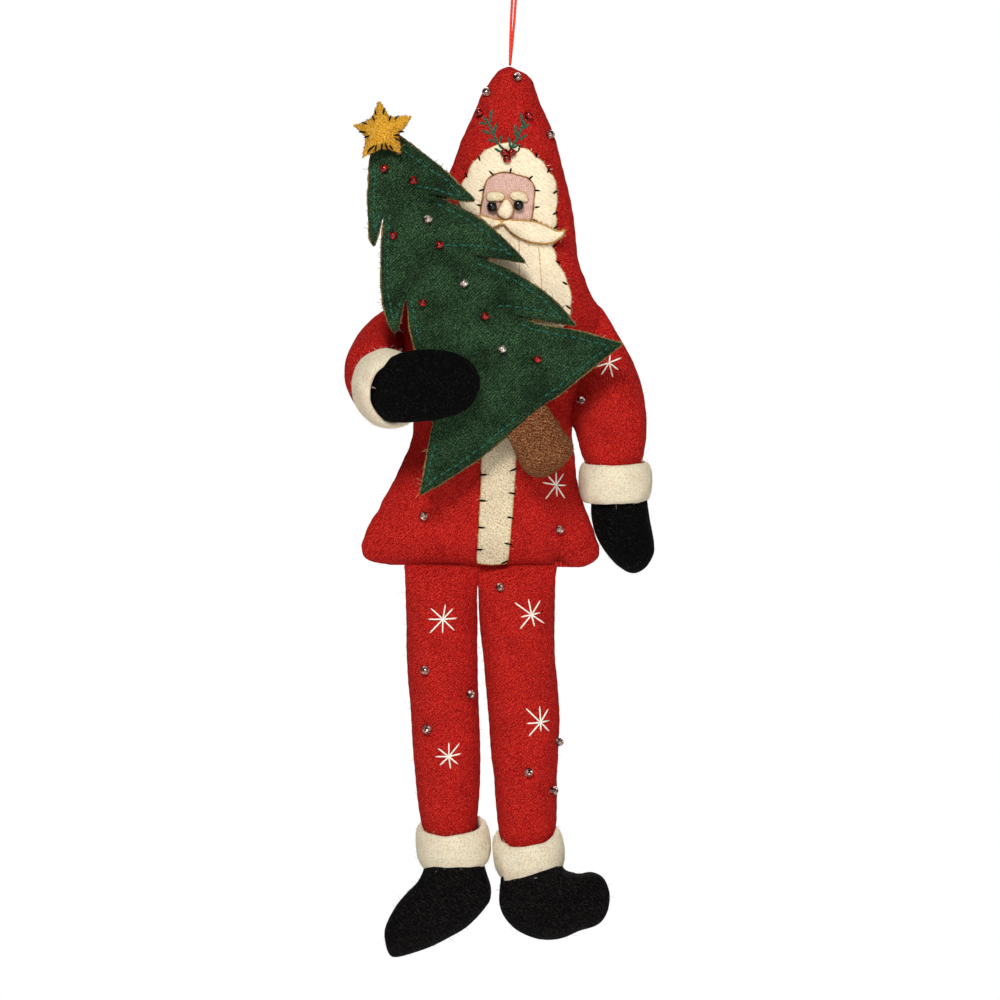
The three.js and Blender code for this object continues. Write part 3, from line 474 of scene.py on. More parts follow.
def fullness(placed, triangles, loops):
    """How full a stuffed pouch of an outline is at each point, from 0 at its seam to 1."""
    count = len(placed)
    corners = placed[triangles]
    load = np.zeros(count)
    pairs, weights = [], []
    area = np.abs(np.cross(corners[:, 1] - corners[:, 0], corners[:, 2] - corners[:, 0])) / 2
    for corner in range(3):
        here, after, before = (corners[:, (corner + shift) % 3] for shift in range(3))
        crossed = np.maximum(np.abs(np.cross(after - here, before - here)), 1e-9)
        weights.append(((after - here) * (before - here)).sum(axis=1) / crossed / 2)
        pairs.append(triangles[:, [(corner + 1) % 3, (corner + 2) % 3]])
        load += np.bincount(triangles[:, corner], area / 3, count)
    pairs, weights = np.vstack(pairs), np.clip(np.concatenate(weights), 1e-3, 20)
    free = np.ones(count, bool)
    for loop in loops:
        free[loop] = False
    free &= np.bincount(triangles.ravel(), minlength=count) > 0

    def pull(heights):
        flow = weights * (heights[pairs[:, 0]] - heights[pairs[:, 1]])
        return np.bincount(pairs[:, 0], flow, count) - np.bincount(pairs[:, 1], flow, count)

    heights, rest = np.zeros(count), np.where(free, load, 0)
    step, power = rest.copy(), rest @ rest
    for _ in range(4000):
        pulled = np.where(free, pull(step), 0)
        share = power / (step @ pulled)
        heights += share * step
        rest -= share * pulled
        fresh = rest @ rest
        if fresh < 1e-12 * load.sum():
            break
        step = rest + fresh / power * step
        power = fresh
    return np.sqrt(np.maximum(heights, 0) / heights.max())


def pouch(
    name, outline, height, body, material, spacing=0.85, middle=0.0, shape_power=0.9, groove=0.22, lumps=0.25,
    pucker=0.1, pitch=3.2, seed=1, shaping=None,
):
    """A stuffed pouch: two felts of one outline, sewn round the edge."""
    seam_place, seam_width, pucker_width, lump_size, small_lump_size = 0.5, 0.35, 1.6, 9, 3.6
    placed, triangles, loops, depth = filled(outline, (), spacing, rims=(0.12, 0.36, 0.75))
    full = fullness(placed, triangles, loops) ** shape_power
    seam = np.zeros(len(placed), bool)
    for loop in loops:
        seam[loop] = True
    space = raised(placed, height * full)
    wave = noise(space * [1, 0, 1], pitch / 2, seed + 5)
    rise = lumps * noise(space, lump_size, seed) + 0.35 * lumps * noise(space, small_lump_size, seed + 1)
    rise = rise * np.clip(depth / 2.5, 0, 1) - groove * bell(depth - seam_place, seam_width)
    rise -= pucker * np.clip(wave, 0, 1) * bell(depth, pucker_width)
    used, numbers = renumbered(triangles, len(placed))
    inner = used[~seam[used]]
    back_numbers = numbers.copy()
    back_numbers[inner] = len(used) + np.arange(len(inner))
    bulge = np.where(seam, 0, np.maximum(height * full + rise, 0.05))
    front = raised(placed, middle - bulge)
    back = raised(placed, middle + bulge - 0.3 * rise)
    points = np.vstack([front[used], back[inner]])
    if shaping is not None:
        points = shaping(points)
    faces = [tuple(face) for face in numbers[triangles]]
    faces += [tuple(face[::-1]) for face in back_numbers[triangles]]
    uvs = [tuple(placed[corner]) for face in triangles for corner in face]
    uvs += [(BACK_MAP - placed[corner, 0], placed[corner, 1]) for face in triangles for corner in face[::-1]]
    return make_mesh(name, points, faces, body, corner_uvs=uvs, materials=[material])


def tubes(name, paths, radius, body, materials, sides=6, taper=0.6, kinds=None):
    """Threads or fibres along paths, in one mesh. u goes round a thread and v along it, in millimetres."""
    points, faces, uvs, face_kinds = [], [], [], []
    round_length = 2 * math.pi * radius
    width_round = np.arange(sides + 1) / sides * round_length
    for index, path in enumerate(paths):
        path = np.asarray(path, float)
        tangent = unit(np.gradient(path, axis=0))
        helper = np.array([0.0, 1.0, 0.0]) if abs(tangent[0, 1]) < 0.8 else np.array([1.0, 0.0, 0.0])
        first = unit(np.cross(tangent, helper))
        second = unit(np.cross(tangent, first))
        walked = walked_along(path)
        thick = np.full(len(path), radius, float)
        thick[0] *= taper
        thick[-1] *= taper
        start = len(points)
        for place, a, b, here in zip(path, first, second, thick):
            for side in range(sides):
                turn = 2 * math.pi * side / sides
                points.append(place + here * (math.cos(turn) * a + math.sin(turn) * b))
        faces += woven(len(path), sides, start)
        uvs += woven_map(width_round, walked)
        for row in (0, len(path) - 1):
            faces.append(tuple(start + row * sides + side for side in range(sides)))
            uvs += [(0, walked[row])] * sides
        face_kinds += [kinds[index] if kinds is not None else 0] * (len(faces) - len(face_kinds))
    return make_mesh(
        name, points, faces, body, corner_uvs=uvs, materials=materials, face_materials=face_kinds,
    )


# Materials
class Shading:
    """Builds a material's nodes."""

    def __init__(self, name):
        self.material = bpy.data.materials.new(name)
        self.material.use_nodes = True
        self.nodes = self.material.node_tree.nodes
        self.links = self.material.node_tree.links
        self.shader = self.nodes["Principled BSDF"]

    def join(self, value, socket):
        if hasattr(value, "is_linked"):
            self.links.new(value, socket)
        else:
            socket.default_value = value

    def add(self, kind, inputs=None, **settings):
        made = self.nodes.new(kind)
        for key, value in settings.items():
            setattr(made, key, value)
        for key, value in (inputs or {}).items():
            self.join(value, made.inputs[key])
        return made

    def cloth(self):
        """The map of the cloth, in millimetres."""
        return self.add("ShaderNodeUVMap", uv_map="cloth").outputs[0]

    def cloud(self, vector, scale, detail, rough=0.5, twist=0.0, dimensions="3D"):
        inputs = {"Vector": vector, "Scale": scale, "Detail": detail, "Roughness": rough, "Distortion": twist}
        return self.add("ShaderNodeTexNoise", inputs, noise_dimensions=dimensions).outputs["Fac"]

    def spread(self, value, low, high, least=0.0, most=1.0):
        """Takes the values from low to high to those from least to most."""
        inputs = {"Value": value, "From Min": low, "From Max": high, "To Min": least, "To Max": most}
        return self.add("ShaderNodeMapRange", inputs).outputs[0]

    def maths(self, operation, first, second=0.5, third=0.5):
        return self.add("ShaderNodeMath", {0: first, 1: second, 2: third}, operation=operation).outputs[0]

    def mix(self, share, first, second, blend="MIX"):
        made = self.add("ShaderNodeMix", data_type="RGBA", blend_type=blend)
        for key, value in (("Factor", share), ("A", first), ("B", second)):
            self.join(value, made.inputs[key])
        return made.outputs["Result"]

    def ramp(self, factor, *stops):
        made = self.add("ShaderNodeValToRGB", {"Fac": factor})
        elements = made.color_ramp.elements
        while len(elements) < len(stops):
            elements.new(0.5)
        for element, (place, colour) in zip(elements, stops):
            element.position = place
            element.color = colour
        return made.outputs["Color"]

    def bump(self, height, strength, distance):
        made = self.add(
            "ShaderNodeBump", {"Height": height, "Strength": strength, "Distance": distance * METRES},
        )
        self.link(made.outputs[0], "Normal")

    def set(self, **values):
        for key, value in values.items():
            self.shader.inputs[key.replace("_", " ")].default_value = value

    def link(self, socket, key):
        self.links.new(socket, self.shader.inputs[key])


def linear(red, green, blue, alpha=1.0):
    """A colour from its display values of 0 to 255."""
    values = [part / 255 for part in (red, green, blue)]
    return tuple(v / 12.92 if v <= 0.04045 else ((v + 0.055) / 1.055) ** 2.4 for v in values) + (alpha,)


def scaled_colour(colour, factor):
    return tuple(min(part * factor, 1) for part in colour[:3]) + (1.0,)


def felt(
    name, colour, dark, light, rib=0.9, rib_strength=0.3, grain=0.5, angle=52, sheen=0.12, bump=0.2,
    stain=None, roughness=0.95, mottle=0.12, streak=0.6, contrast=1.0, specks=None,
):
    """Fulled wool: the slanted ribs of the weave under a nap of fibres, on a map in millimetres. Its colour
    is darker where that relief is low and lighter where it is high: partly the wool's own tone, partly
    painted shade and light.
    """
    nap_share, hair_share, rib_share, half_range = 0.75, 0.35, 0.22, 0.26
    shading = Shading(name)
    cloth = shading.cloth()
    turning = {"Vector": cloth, "Rotation": (0, 0, math.radians(angle))}
    turned = shading.add("ShaderNodeMapping", turning, vector_type="TEXTURE").outputs[0]

    def cloud(vector, scale, detail=4.0, rough=0.65, twist=0.0):
        return shading.cloud(vector, scale, detail, rough, twist, "2D")

    def stretched(across, along):
        return shading.add("ShaderNodeMapping", {"Vector": turned, "Scale": (across, along, 1.0)}).outputs[0]

    drift = shading.maths("MULTIPLY", cloud(cloth, 0.3, 3.0), 9.0)
    split = shading.add("ShaderNodeSeparateXYZ", {0: turned})
    ribs = shading.maths("SINE", shading.maths("MULTIPLY_ADD", split.outputs[0], 2 * math.pi / rib, drift))
    worn = shading.spread(cloud(cloth, 0.55), 0.3, 0.65, 0.15, 1.0)
    nap = cloud(cloth, 1 / grain, 5.0, 0.7, 0.5)
    streaks = cloud(stretched(2.2, 0.75), 1.0, 3.0, 0.6, 0.8)
    hairs = cloud(stretched(0.8, 4.6), 1.0, 4.0, 0.75, 2.2)
    patches = cloud(cloth, 0.11, 3.0, 0.6)
    weave = shading.maths("MULTIPLY", shading.maths("MULTIPLY", ribs, worn), rib_share * rib_strength)
    rest = shading.maths("MULTIPLY_ADD", streaks, streak, shading.maths("MULTIPLY", hairs, hair_share))
    height = shading.maths("ADD", weave, shading.maths("MULTIPLY_ADD", nap, nap_share, rest))
    middle = 0.5 * (nap_share + streak + hair_share)
    spread = half_range / contrast
    # The colour follows the height of the relief: partly the wool's own mottled tone, partly painted shade in
    # its hollows and painted light on its crests.
    tone_and_painted_shade = shading.spread(height, middle - spread, middle + spread)
    surface = shading.ramp(tone_and_painted_shade, (0.0, dark), (0.5, colour), (1.0, light))
    shade = shading.spread(patches, 0.3, 0.7, 1 - mottle, 1 + mottle * 0.6)
    painted = shading.mix(1.0, surface, shade, "MULTIPLY")
    if specks is not None:
        fleck = cloud(stretched(3.2, 1.1), 1.0, 2.0, 0.5, 1.0)
        painted = shading.mix(shading.spread(fleck, 0.66, 0.74, 0.0, 0.7), painted, specks)
    if stain is not None:
        painted = stain(shading, painted)
    shading.link(painted, "Base Color")
    shading.bump(height, 1.0, bump)
    shading.set(Roughness=roughness, Specular_IOR_Level=0.08)
    shading.set(Sheen_Weight=sheen, Sheen_Roughness=0.5, Sheen_Tint=light)
    return shading.material


def thread_material(name, colour, dark, twist=1.1, roughness=0.6, sheen=0.25):
    """Twisted thread, on the map that tubes() makes. Its colour is darker in the grooves between the plies
    and lighter on their crowns: painted shade and highlight.
    """
    shading = Shading(name)
    split = shading.add("ShaderNodeSeparateXYZ", {0: shading.cloth()})
    around = shading.maths("MULTIPLY", split.outputs[0], 5.0)
    slope = shading.maths("MULTIPLY_ADD", split.outputs[1], 2 * math.pi / twist, around)
    ply = shading.maths("SINE", slope)
    # Painted shade and highlight: darker in the grooves between the plies, lighter on their crowns.
    tone_and_painted_shade = shading.maths("MULTIPLY_ADD", ply, 0.5, 0.5)
    shading.link(shading.ramp(tone_and_painted_shade, (0.0, dark), (0.6, colour)), "Base Color")
    shading.bump(ply, 0.5, 0.06)
    shading.set(Roughness=roughness, Specular_IOR_Level=0.6 * sheen + 0.05, Sheen_Weight=sheen)
    return shading.material


def fibre_material(name, colour):
    """Loose wool fibres, some lighter and some darker."""
    shading = Shading(name)
    tint = shading.cloud(shading.cloth(), 0.8, 1.0)
    tones = (0.3, scaled_colour(colour, 0.7)), (0.7, scaled_colour(colour, 1.3))
    shading.link(shading.ramp(tint, *tones), "Base Color")
    shading.set(Roughness=0.8, Specular_IOR_Level=0.2, Sheen_Weight=0.2)
    return shading.material


def glass_material(name, dark, colour, bright, metal, roughness=0.08, coat=0.3):
    """Lined glass: dark and bright patches under a clear surface, partly the streaks of the lining and partly
    painted reflections and highlights.
    """
    shading = Shading(name)
    lining_and_painted_glints = shading.cloud(shading.cloth(), 0.85, 2.0, twist=0.6, dimensions="2D")
    # The dark and bright stops paint reflections and highlights over the lining's own streaks.
    shading.link(shading.ramp(lining_and_painted_glints, (0.36, dark), (0.5, colour), (0.62, bright)), "Base Color")
    shading.set(Roughness=roughness, IOR=1.5, Metallic=metal, Specular_IOR_Level=0.4)
    shading.set(Coat_Weight=coat, Coat_Roughness=0.02)
    return shading.material


def lining_material(name, colour):
    """The metal lining of a bead."""
    shading = Shading(name)
    streak = shading.cloud(shading.cloth(), 2.5, 2.0)
    shading.link(shading.ramp(streak, (0.3, scaled_colour(colour, 0.45)), (0.7, colour)), "Base Color")
    shading.set(Metallic=1.0, Roughness=0.22)
    return shading.material


def pink_stain(shading, painted):
    """Dye from the red felt, in blotches in the nap of a cuff."""
    where = shading.add("ShaderNodeTexCoord").outputs["Object"]
    blotch = shading.cloud(where, 130.0, 3.0)
    return shading.mix(shading.spread(blotch, 0.54, 0.76, 0.0, 0.4), painted, linear(214, 160, 146))


red_felt = felt(
    "red_wool_felt", linear(176, 19, 18), linear(98, 4, 6), linear(226, 62, 48), rib=0.7, grain=0.34,
    rib_strength=0.1, angle=-48, sheen=0.06, bump=0.36, streak=0.22, contrast=2.1,
)
cream_felt = felt(
    "cream_wool_felt", linear(244, 225, 192), linear(206, 182, 142), linear(254, 243, 220),
    rib=1.0, rib_strength=0.2, grain=0.4, bump=0.2, mottle=0.08, streak=0.35, contrast=1.3,
)
trim_felt = felt(
    "cream_trim_felt", linear(230, 210, 174), linear(168, 138, 96), linear(250, 238, 212),
    rib=0.8, rib_strength=0.12, grain=0.42, bump=0.4, mottle=0.08, streak=0.2, contrast=1.8,
)
cuff_felt = felt(
    "cream_cuff_felt", linear(255, 240, 206), linear(226, 198, 160), linear(255, 250, 230),
    rib=1.0, rib_strength=0.1, grain=0.5, angle=20, sheen=0.12, bump=0.6, mottle=0.05, streak=0.2,
    contrast=1.9, stain=pink_stain,
)
raw_edge = felt(
    "raw_felt_edge", linear(132, 106, 62), linear(44, 40, 22), linear(204, 168, 112),
    rib=0.5, rib_strength=0.2, grain=0.3, mottle=0.15,
)
cream_edge = felt(
    "cream_felt_edge", linear(206, 156, 88), linear(146, 96, 42), linear(238, 202, 142),
    rib=0.5, rib_strength=0.2, grain=0.3, mottle=0.15,
)
pink_felt = felt(
    "pink_wool_felt", linear(206, 167, 152), linear(172, 126, 114), linear(232, 200, 186),
    rib=0.6, rib_strength=0.25, angle=12, grain=0.34, bump=0.14, mottle=0.1, streak=0.35, contrast=1.3,
)
brow_felt = felt(
    "brow_wool_felt", linear(222, 204, 168), linear(176, 154, 118), linear(244, 230, 200),
    rib=0.8, rib_strength=0.3, grain=0.35, bump=0.14,
)
green_felt = felt(
    "green_wool_felt", linear(23, 48, 29), linear(4, 14, 9), linear(78, 108, 72), rib=0.66,
    rib_strength=0.24, grain=0.36, angle=-42, sheen=0.08, bump=0.42, mottle=0.5, streak=0.22, contrast=2.0,
)
brown_felt = felt(
    "brown_wool_felt", linear(106, 53, 24), linear(26, 11, 4), linear(204, 146, 100),
    rib=0.8, rib_strength=0.15, grain=0.38, bump=0.5, mottle=0.16, streak=0.22, contrast=1.7,
)
yellow_felt = felt(
    "yellow_wool_felt", linear(218, 152, 30), linear(118, 58, 6), linear(250, 212, 108),
    rib=0.7, rib_strength=0.1, grain=0.42, bump=0.44, mottle=0.2, streak=0.22, contrast=1.35,
)
black_felt = felt(
    "black_wool_felt", linear(4, 3, 3), linear(1, 1, 1), linear(31, 28, 27), contrast=1.7, rib=0.9,
    rib_strength=0.2, grain=0.5, sheen=0.0, bump=0.34, mottle=0.2, roughness=1.0, specks=linear(48, 40, 34),
)
# The same black felt as the boots, made darker for the mittens: painted shade.
mitten_felt = felt(
    "black_mitten_felt", linear(1, 1, 1), linear(0, 0, 0), linear(16, 15, 14), contrast=1.7, rib=0.9,
    rib_strength=0.3, grain=0.5, sheen=0.0, bump=0.4, mottle=0.2, roughness=1.0, specks=linear(36, 30, 26),
)
red_thread = thread_material("red_loop_thread", linear(238, 62, 36), linear(196, 38, 22))
black_thread = thread_material("black_thread", linear(10, 9, 9), linear(3, 3, 3), sheen=0.0)
white_thread = thread_material("white_thread", linear(250, 244, 232), linear(232, 220, 200))
green_thread = thread_material("green_thread", linear(18, 96, 64), linear(6, 48, 32))
teal_thread = thread_material("teal_thread", linear(30, 106, 88), linear(8, 46, 38), sheen=0.1)
tan_thread = thread_material("tan_thread", linear(214, 178, 122), linear(170, 126, 72))
silver_glass = glass_material(
    "clear_glass", linear(38, 24, 20), linear(170, 148, 134), linear(255, 250, 244), 0.5, roughness=0.12
)
# The clear silver-lined beads again, tinted pink for those on red felt: painted reflection of the felt.
rosy_glass = glass_material(
    "rosy_glass", linear(34, 12, 10), linear(142, 98, 86), linear(238, 220, 210), 0.5, roughness=0.12
)
red_glass = glass_material("red_glass", linear(22, 0, 1), linear(104, 2, 2), linear(224, 34, 20), 0.45)
black_glass = glass_material(
    "black_glass", linear(2, 2, 2), linear(3, 3, 3), linear(6, 5, 5), 0.0, roughness=0.06, coat=0.15,
)
silver_lining = lining_material("silver_lining", linear(196, 176, 160))
# Their lining, tinted pink in the same way: painted reflection of the red felt.
rosy_lining = lining_material("rosy_lining", linear(158, 112, 98))
red_lining = lining_material("red_lining", linear(150, 16, 10))
dark_bore = fibre_material("thread_in_bore", linear(44, 28, 24))
fibre_red = fibre_material("red_fibre", linear(196, 44, 38))
fibre_cream = fibre_material("cream_fibre", linear(240, 230, 208))
fibre_green = fibre_material("green_fibre", linear(50, 80, 56))
fibre_black = fibre_material("black_fibre", linear(30, 26, 24))
fibre_brown = fibre_material("brown_fibre", linear(138, 94, 56))
fibre_tan = fibre_material("tan_fibre", linear(186, 150, 98))
fibre_gold = fibre_material("gold_fibre", linear(212, 148, 76))
fibre_yellow = fibre_material("yellow_fibre", linear(224, 172, 66))


# Pieces
def stand_for(made, nodes):
    """Hides the nodes of the frame that a piece replaces, and gives the piece back."""
    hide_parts(*nodes)
    return made


# Hanging loop
LOOP = [
    (-3.6, -0.5, -60), (-3.49, -0.43, -54), (-3.31, -0.25, -48), (-3.02, 0, -42), (-2.5, 0, -30),
    (-2.28, 0, -18), (-2.48, 0, -8), (-2.57, 0, -4.5), (-2.4, 0, -2.05), (-1.7, 0, -0.35), (0, 0, 0.35),
    (1.7, 0, -0.35), (2.4, 0, -2.05), (2.03, 0, -4.5), (1.52, 0, -8), (0.12, 0, -18), (-1.1, 0, -30),
    (-2.02, 0, -42), (-2.45, 0.25, -48), (-2.99, 0.43, -54), (-3.6, 0.5, -60),
]
THREAD = 0.7


def hanging_loop():
    """The thread that the ornament hangs by."""
    path = evenly(LOOP, 1.2, closed=False)
    made = tubes("hanging_thread", [path], THREAD / 2, "hanger", [red_thread], sides=12, taper=0.9)
    stand_for(made, ["hanging_loop"])


hanging_loop()

# Beads: pixel, how the bore turns on the surface and how far it tips up from it, in radians
HOOD_AND_COAT_BEADS = {
    "hood_bead_1": ((517, 78.6), 0.4, 1.2), "hood_bead_2": ((488, 93.4), 1.2, 1.1),
    "hood_bead_3": ((548.7, 135.2), 2.1, 1.1), "sprig_bead_left": ((481, 113.6), 0.4, 0.9),
    "sprig_bead_right": ((528, 116.3), 1.3, 0.2), "holly_berry_1": ((504, 153.5), 0.8, 0.2),
    "holly_berry_2": ((512.3, 153.5), 2.2, 0.3), "holly_berry_3": ((507, 160.8), 1.6, 0.4),
    "coat_bead_1": ((579, 399.8), 0.5, 1.2), "coat_bead_2": ((424.5, 515.7), 2.4, 0.1),
    "coat_bead_3": ((558.8, 529.3), 0.9, 0.1),
}
TREE_BEADS = {
    "tree_bead_red_1": ((386, 171), 0.0, 0.1), "tree_bead_red_2": ((413, 182), 0.9, 0.3),
    "tree_bead_red_3": ((394, 237), 1.8, 0.4), "tree_bead_red_4": ((439, 247), 0.2, 0.1),
    "tree_bead_red_5": ((424, 304), 1.5, 0.2), "tree_bead_red_6": ((484, 318), 0.7, 0.1),
    "tree_bead_red_7": ((537, 361), 1.1, 0.3), "tree_bead_silver_1": ((428, 222), 0.4, 0.6),
    "tree_bead_silver_2": ((464, 286), 0.9, 0.1), "tree_bead_silver_3": ((502, 351), 1.2, 0.3),
}
LEG_BEADS = {
    "left_leg": [((426, 670), 1.0, 0.9), ((469, 694), 0.3, 1.1), ((428, 729), 1.9, 1.0)],
    "right_leg": [
        ((500.7, 588), 0.6, 1.2), ((556.6, 741.5), 1.7, 0.8), ((528.4, 772), 2.5, 1.0),
        ((552, 790), 0.9, 0.8),
    ],
}
BEAD_WIDTH, BEAD_LENGTH, BEAD_BORE = 2.3, 1.7, 0.8
dents_on_coat = [(at(*pixel), 0.45, 1.7) for pixel, _, _ in HOOD_AND_COAT_BEADS.values()]
dents_on_legs = {leg: [(at(*pixel), 0.4, 1.6) for pixel, _, _ in beads] for leg, beads in LEG_BEADS.items()}


def bead(
    name, surface, pixel, turn, tip, body, glass, lining, width=BEAD_WIDTH, length=BEAD_LENGTH, sink=0.25,
    barrel=0.5,
):
    """A glass bead with its lining and thread, sewn on a surface."""
    wall, thread, rounds = 0.12, 0.17, 20
    x, z = at(*pixel)
    y, normal = surface.front(x, z)
    outward = unit(np.array(normal) + np.array([0, -0.35, 0]))
    flat = unit(np.cross(outward, [0, 0, 1.0]))
    upright = np.cross(flat, outward)
    axis = unit(math.cos(tip) * (math.cos(turn) * flat + math.sin(turn) * upright) + math.sin(tip) * outward)
    first = unit(np.cross(axis, outward))
    second = np.cross(first, axis)
    centre = np.array([x, y, z]) + outward * (width / 2 - sink)
    bore, half = BEAD_BORE / 2, length / 2
    outline = []
    for angle in np.linspace(-math.pi / 2, math.pi / 2, 9):
        radius = width / 2 - barrel * width / 2 * (1 - math.cos(angle)) * 0.75
        outline.append((radius, half * math.sin(angle)))
    lip, mouth, throat = bore + 0.1, half * 0.92, half * 0.8
    outline += [(lip, mouth), (bore, throat), (bore, -throat), (lip, -mouth)]
    points, faces, kinds, uvs = [], [], [], []

    def revolve(profile, kind, closed):
        """Adds a profile turned about the bore."""
        start = len(points)
        for radius, along in profile:
            for step in range(rounds):
                angle = 2 * math.pi * step / rounds
                spoke = math.cos(angle) * first + math.sin(angle) * second
                points.append(centre + axis * along + radius * spoke)
                uvs.append((step / rounds * width * 3, along))
        faces.extend(woven(len(profile), rounds, start, closed))
        kinds.extend([kind] * (len(faces) - len(kinds)))

    revolve(outline, 0, True)
    outer, end = bore - 0.03, half * 0.82
    revolve([(outer, -end), (outer, end), (outer - wall, end), (outer - wall, -end)], 1, True)
    tip_end, thread_end = half * 1.15, half * 1.1
    revolve([(0.02, -tip_end), (thread, -thread_end), (thread, thread_end), (0.02, tip_end)], 2, False)
    shown = [glass, lining, dark_bore]
    return make_mesh(name, points, faces, body, point_uvs=uvs, materials=shown, face_materials=kinds)


# Hood and coat, from the crown to the hem: pixel row, left edge, right edge, depth
HEM_ROW, HEM_MIDDLE, HEM_CREASE, HEM_CORNER = 565, 492, 558.5, 582
COAT = [
    (66.8, 507, 511, 0.7), (67.4, 504, 514, 1.4), (69.5, 499, 519.5, 2.3), (73, 495, 528, 3.3),
    (80, 490, 534, 4.3), (90, 483, 538, 5.1), (100, 478, 541, 5.7), (120, 470, 549, 6.4),
    (140, 461, 556, 7.1), (160, 454, 562, 7.6), (180, 446.5, 567, 8), (200, 441, 571, 8.3),
    (220, 436, 574.5, 8.6), (240, 431, 577, 8.9), (260, 427, 579.5, 9.2), (280, 417, 587, 9.6),
    (290, 409, 591, 9.8), (300, 400, 596.5, 10), (308, 393, 600.8, 10.2), (319, 391, 600.6, 10.5),
    (340, 398.5, 594.6, 10.8), (360, 402.4, 588, 11), (390, 408, 580, 11), (421, 412, 572.5, 10.9),
    (430, 412, 573, 10.8), (440, 410.5, 574, 10.7), (450, 407.5, 575.5, 10.6), (460, 402.5, 576.5, 10.5),
    (470, 398, 577.5, 10.3), (480, 393, 579, 10.1), (490, 388, 581.5, 9.8), (500, 382, 584, 9.5),
    (510, 377, 587.5, 9.1), (520, 370, 591, 8.6), (530, 365, 594.4, 8.1), (540, 361.5, 597.6, 7.3),
    (547, 360.4, 600, 6.4), (553, 361, 600.6, 5.3), (558, 364, 598.6, 4.2), (561.5, 369, 594, 3.0),
    (564, 378, 585, 1.7), (HEM_ROW, 390, 572, 0.7),
]


def bent_hem(grid):
    """The hem hangs a little lower in its middle, and its right-hand corner bulges beyond a crease."""
    hem = at(0, HEM_ROW)[1]
    x, z = grid[..., 0], grid[..., 2]
    near = np.clip(1 - (z - hem) / 9, 0, 1) ** 2
    middle = bell(x - at(HEM_MIDDLE, 0)[0], 9)
    corner = bell(x - at(HEM_CORNER, 0)[0], 3.6)
    crease = bell(x - at(HEM_CREASE, 0)[0] + 0.25 * (z - hem), 1.3)
    grid[..., 2] += near * (1.9 * crease - 1.1 * corner - 0.35 * middle)
    grid[..., 1] *= 1 - 0.3 * near * crease + 0.12 * near * corner
    return grid


coat = loft(
    "hood_and_coat",
    [section((left, row), (right, row), depth) for row, left, right, depth in COAT],
    "figure", red_felt, spacing=0.9, columns=120, power=2.5, roundness=0.72, lumps=0.35, dents=dents_on_coat,
    shaping=bent_hem, groove=0.35, pucker=0.14, pitch=4.2,
)
stand_for(coat, ["coat_front", "coat_back", "coat_stuffing"])
on_coat = Surface(coat)


# Face
def stitched_line(pixels, stitches, spacing=0.7, pull=0.62, width=1.35):
    """A smooth closed edge, drawn in a little at each stitch."""
    line = evenly(places(pixels), spacing)
    middle = line.mean(axis=0)
    for stitch in places(stitches):
        near = np.linalg.norm(line - stitch, axis=1)
        line += unit(middle - line) * (pull * bell(near, width))[:, None]
    line += 0.07 * unevenness(line, 0.9, 3)[:, None]
    return line


SURROUND = [
    (508, 143), (523, 147), (535, 154), (545, 164), (553, 175), (558, 190), (557.5, 210), (558, 228),
    (555, 246), (559, 262), (566, 276.5), (570, 287), (572, 301), (570.7, 316), (557, 334), (532, 345),
    (500, 350), (468, 345), (440, 334), (426, 320), (424, 302), (432, 284), (445, 266), (451, 248),
    (455, 228), (457, 208), (461, 186), (467, 172), (478, 156), (493, 147),
]
OUTER_STITCHES = [
    (479, 158), (465.5, 175), (519.6, 147.6), (536.4, 154.7), (549, 170), (556, 192), (556.5, 213),
    (556.5, 227), (556, 245), (559, 263), (566, 284.6), (569.5, 308.7), (458, 205), (453, 238), (436, 276),
    (427, 310),
]
FACE_HOLE = [
    (503.3, 173.6), (515.5, 175.6), (526.7, 179), (533.4, 186), (534.3, 195), (533, 208), (531.6, 219),
    (527, 224.6), (516, 225.4), (503, 224.4), (490, 224.2), (482, 222), (480.4, 215.4), (482.4, 202),
    (484.4, 190), (487.4, 181), (495, 176),
]
HOLE_STITCHES = [
    (493, 175.6), (510, 174), (528.8, 179.7), (534.4, 191), (533.4, 208.6), (533.7, 220.8), (483.4, 190.4),
    (481.3, 206.5),
]
HOLE_STITCH_ENDS = [
    (484, 158), (511, 155), (540, 168), (552, 188), (552, 208), (552, 222), (464, 188), (462, 206),
]
SURROUND_MIDDLE = (505, 245)


def black_stitches(name, body, surface, stitches, toward, length=2.0, lift=0.12, radius=0.27):
    """Short stitches from an edge in towards a middle each. Their ends go into the felt, and no deeper."""
    turned, over_edge, dip, deepest_dip, deepest_edge = 0.18, 0.3, 0.2, 0.7, 1.4
    paths = []
    for stitch, middle in zip(places(stitches), places(toward)):
        way = unit(middle - stitch)
        way = unit(way + turned * rng.standard_normal(2))
        size = length * (0.85 + 0.3 * rng.random())
        line = [stitch - way * over_edge, stitch, stitch + way * size * 0.5, stitch + way * size]
        path = surface.lifted(line, lift)
        path[1, 1] = min(path[1, 1], path[2, 1] + deepest_edge)
        path[0, 1] = min(max(path[0, 1], path[1, 1]) + dip, path[1, 1] + deepest_dip)
        path[-1, 1] += dip
        paths.append(path)
    return tubes(name, paths, radius, body, [black_thread])


def laid_felt(
    name, outline, holes, node, thickness, lift, materials, spacing=0.9, radius=0.5,
    dents=(), furthest=0.0,
):
    """A felt laid on the coat."""
    shape = filled(outline, holes, spacing)
    placed, _, _, depth = shape
    base = np.minimum(on_coat.fronts(placed), furthest)
    height = thickness * (0.42 + 0.58 * rounded(depth, radius))
    height *= 1 - 0.4 * closeness(placed, dents, 1.0)
    height += 0.08 * noise(raised(placed, base), 6, 5)
    made = sheet_piece(name, shape, base - lift - height, base - lift, "figure", materials, rim=0.3)
    stand_for(made, [node])
    return made
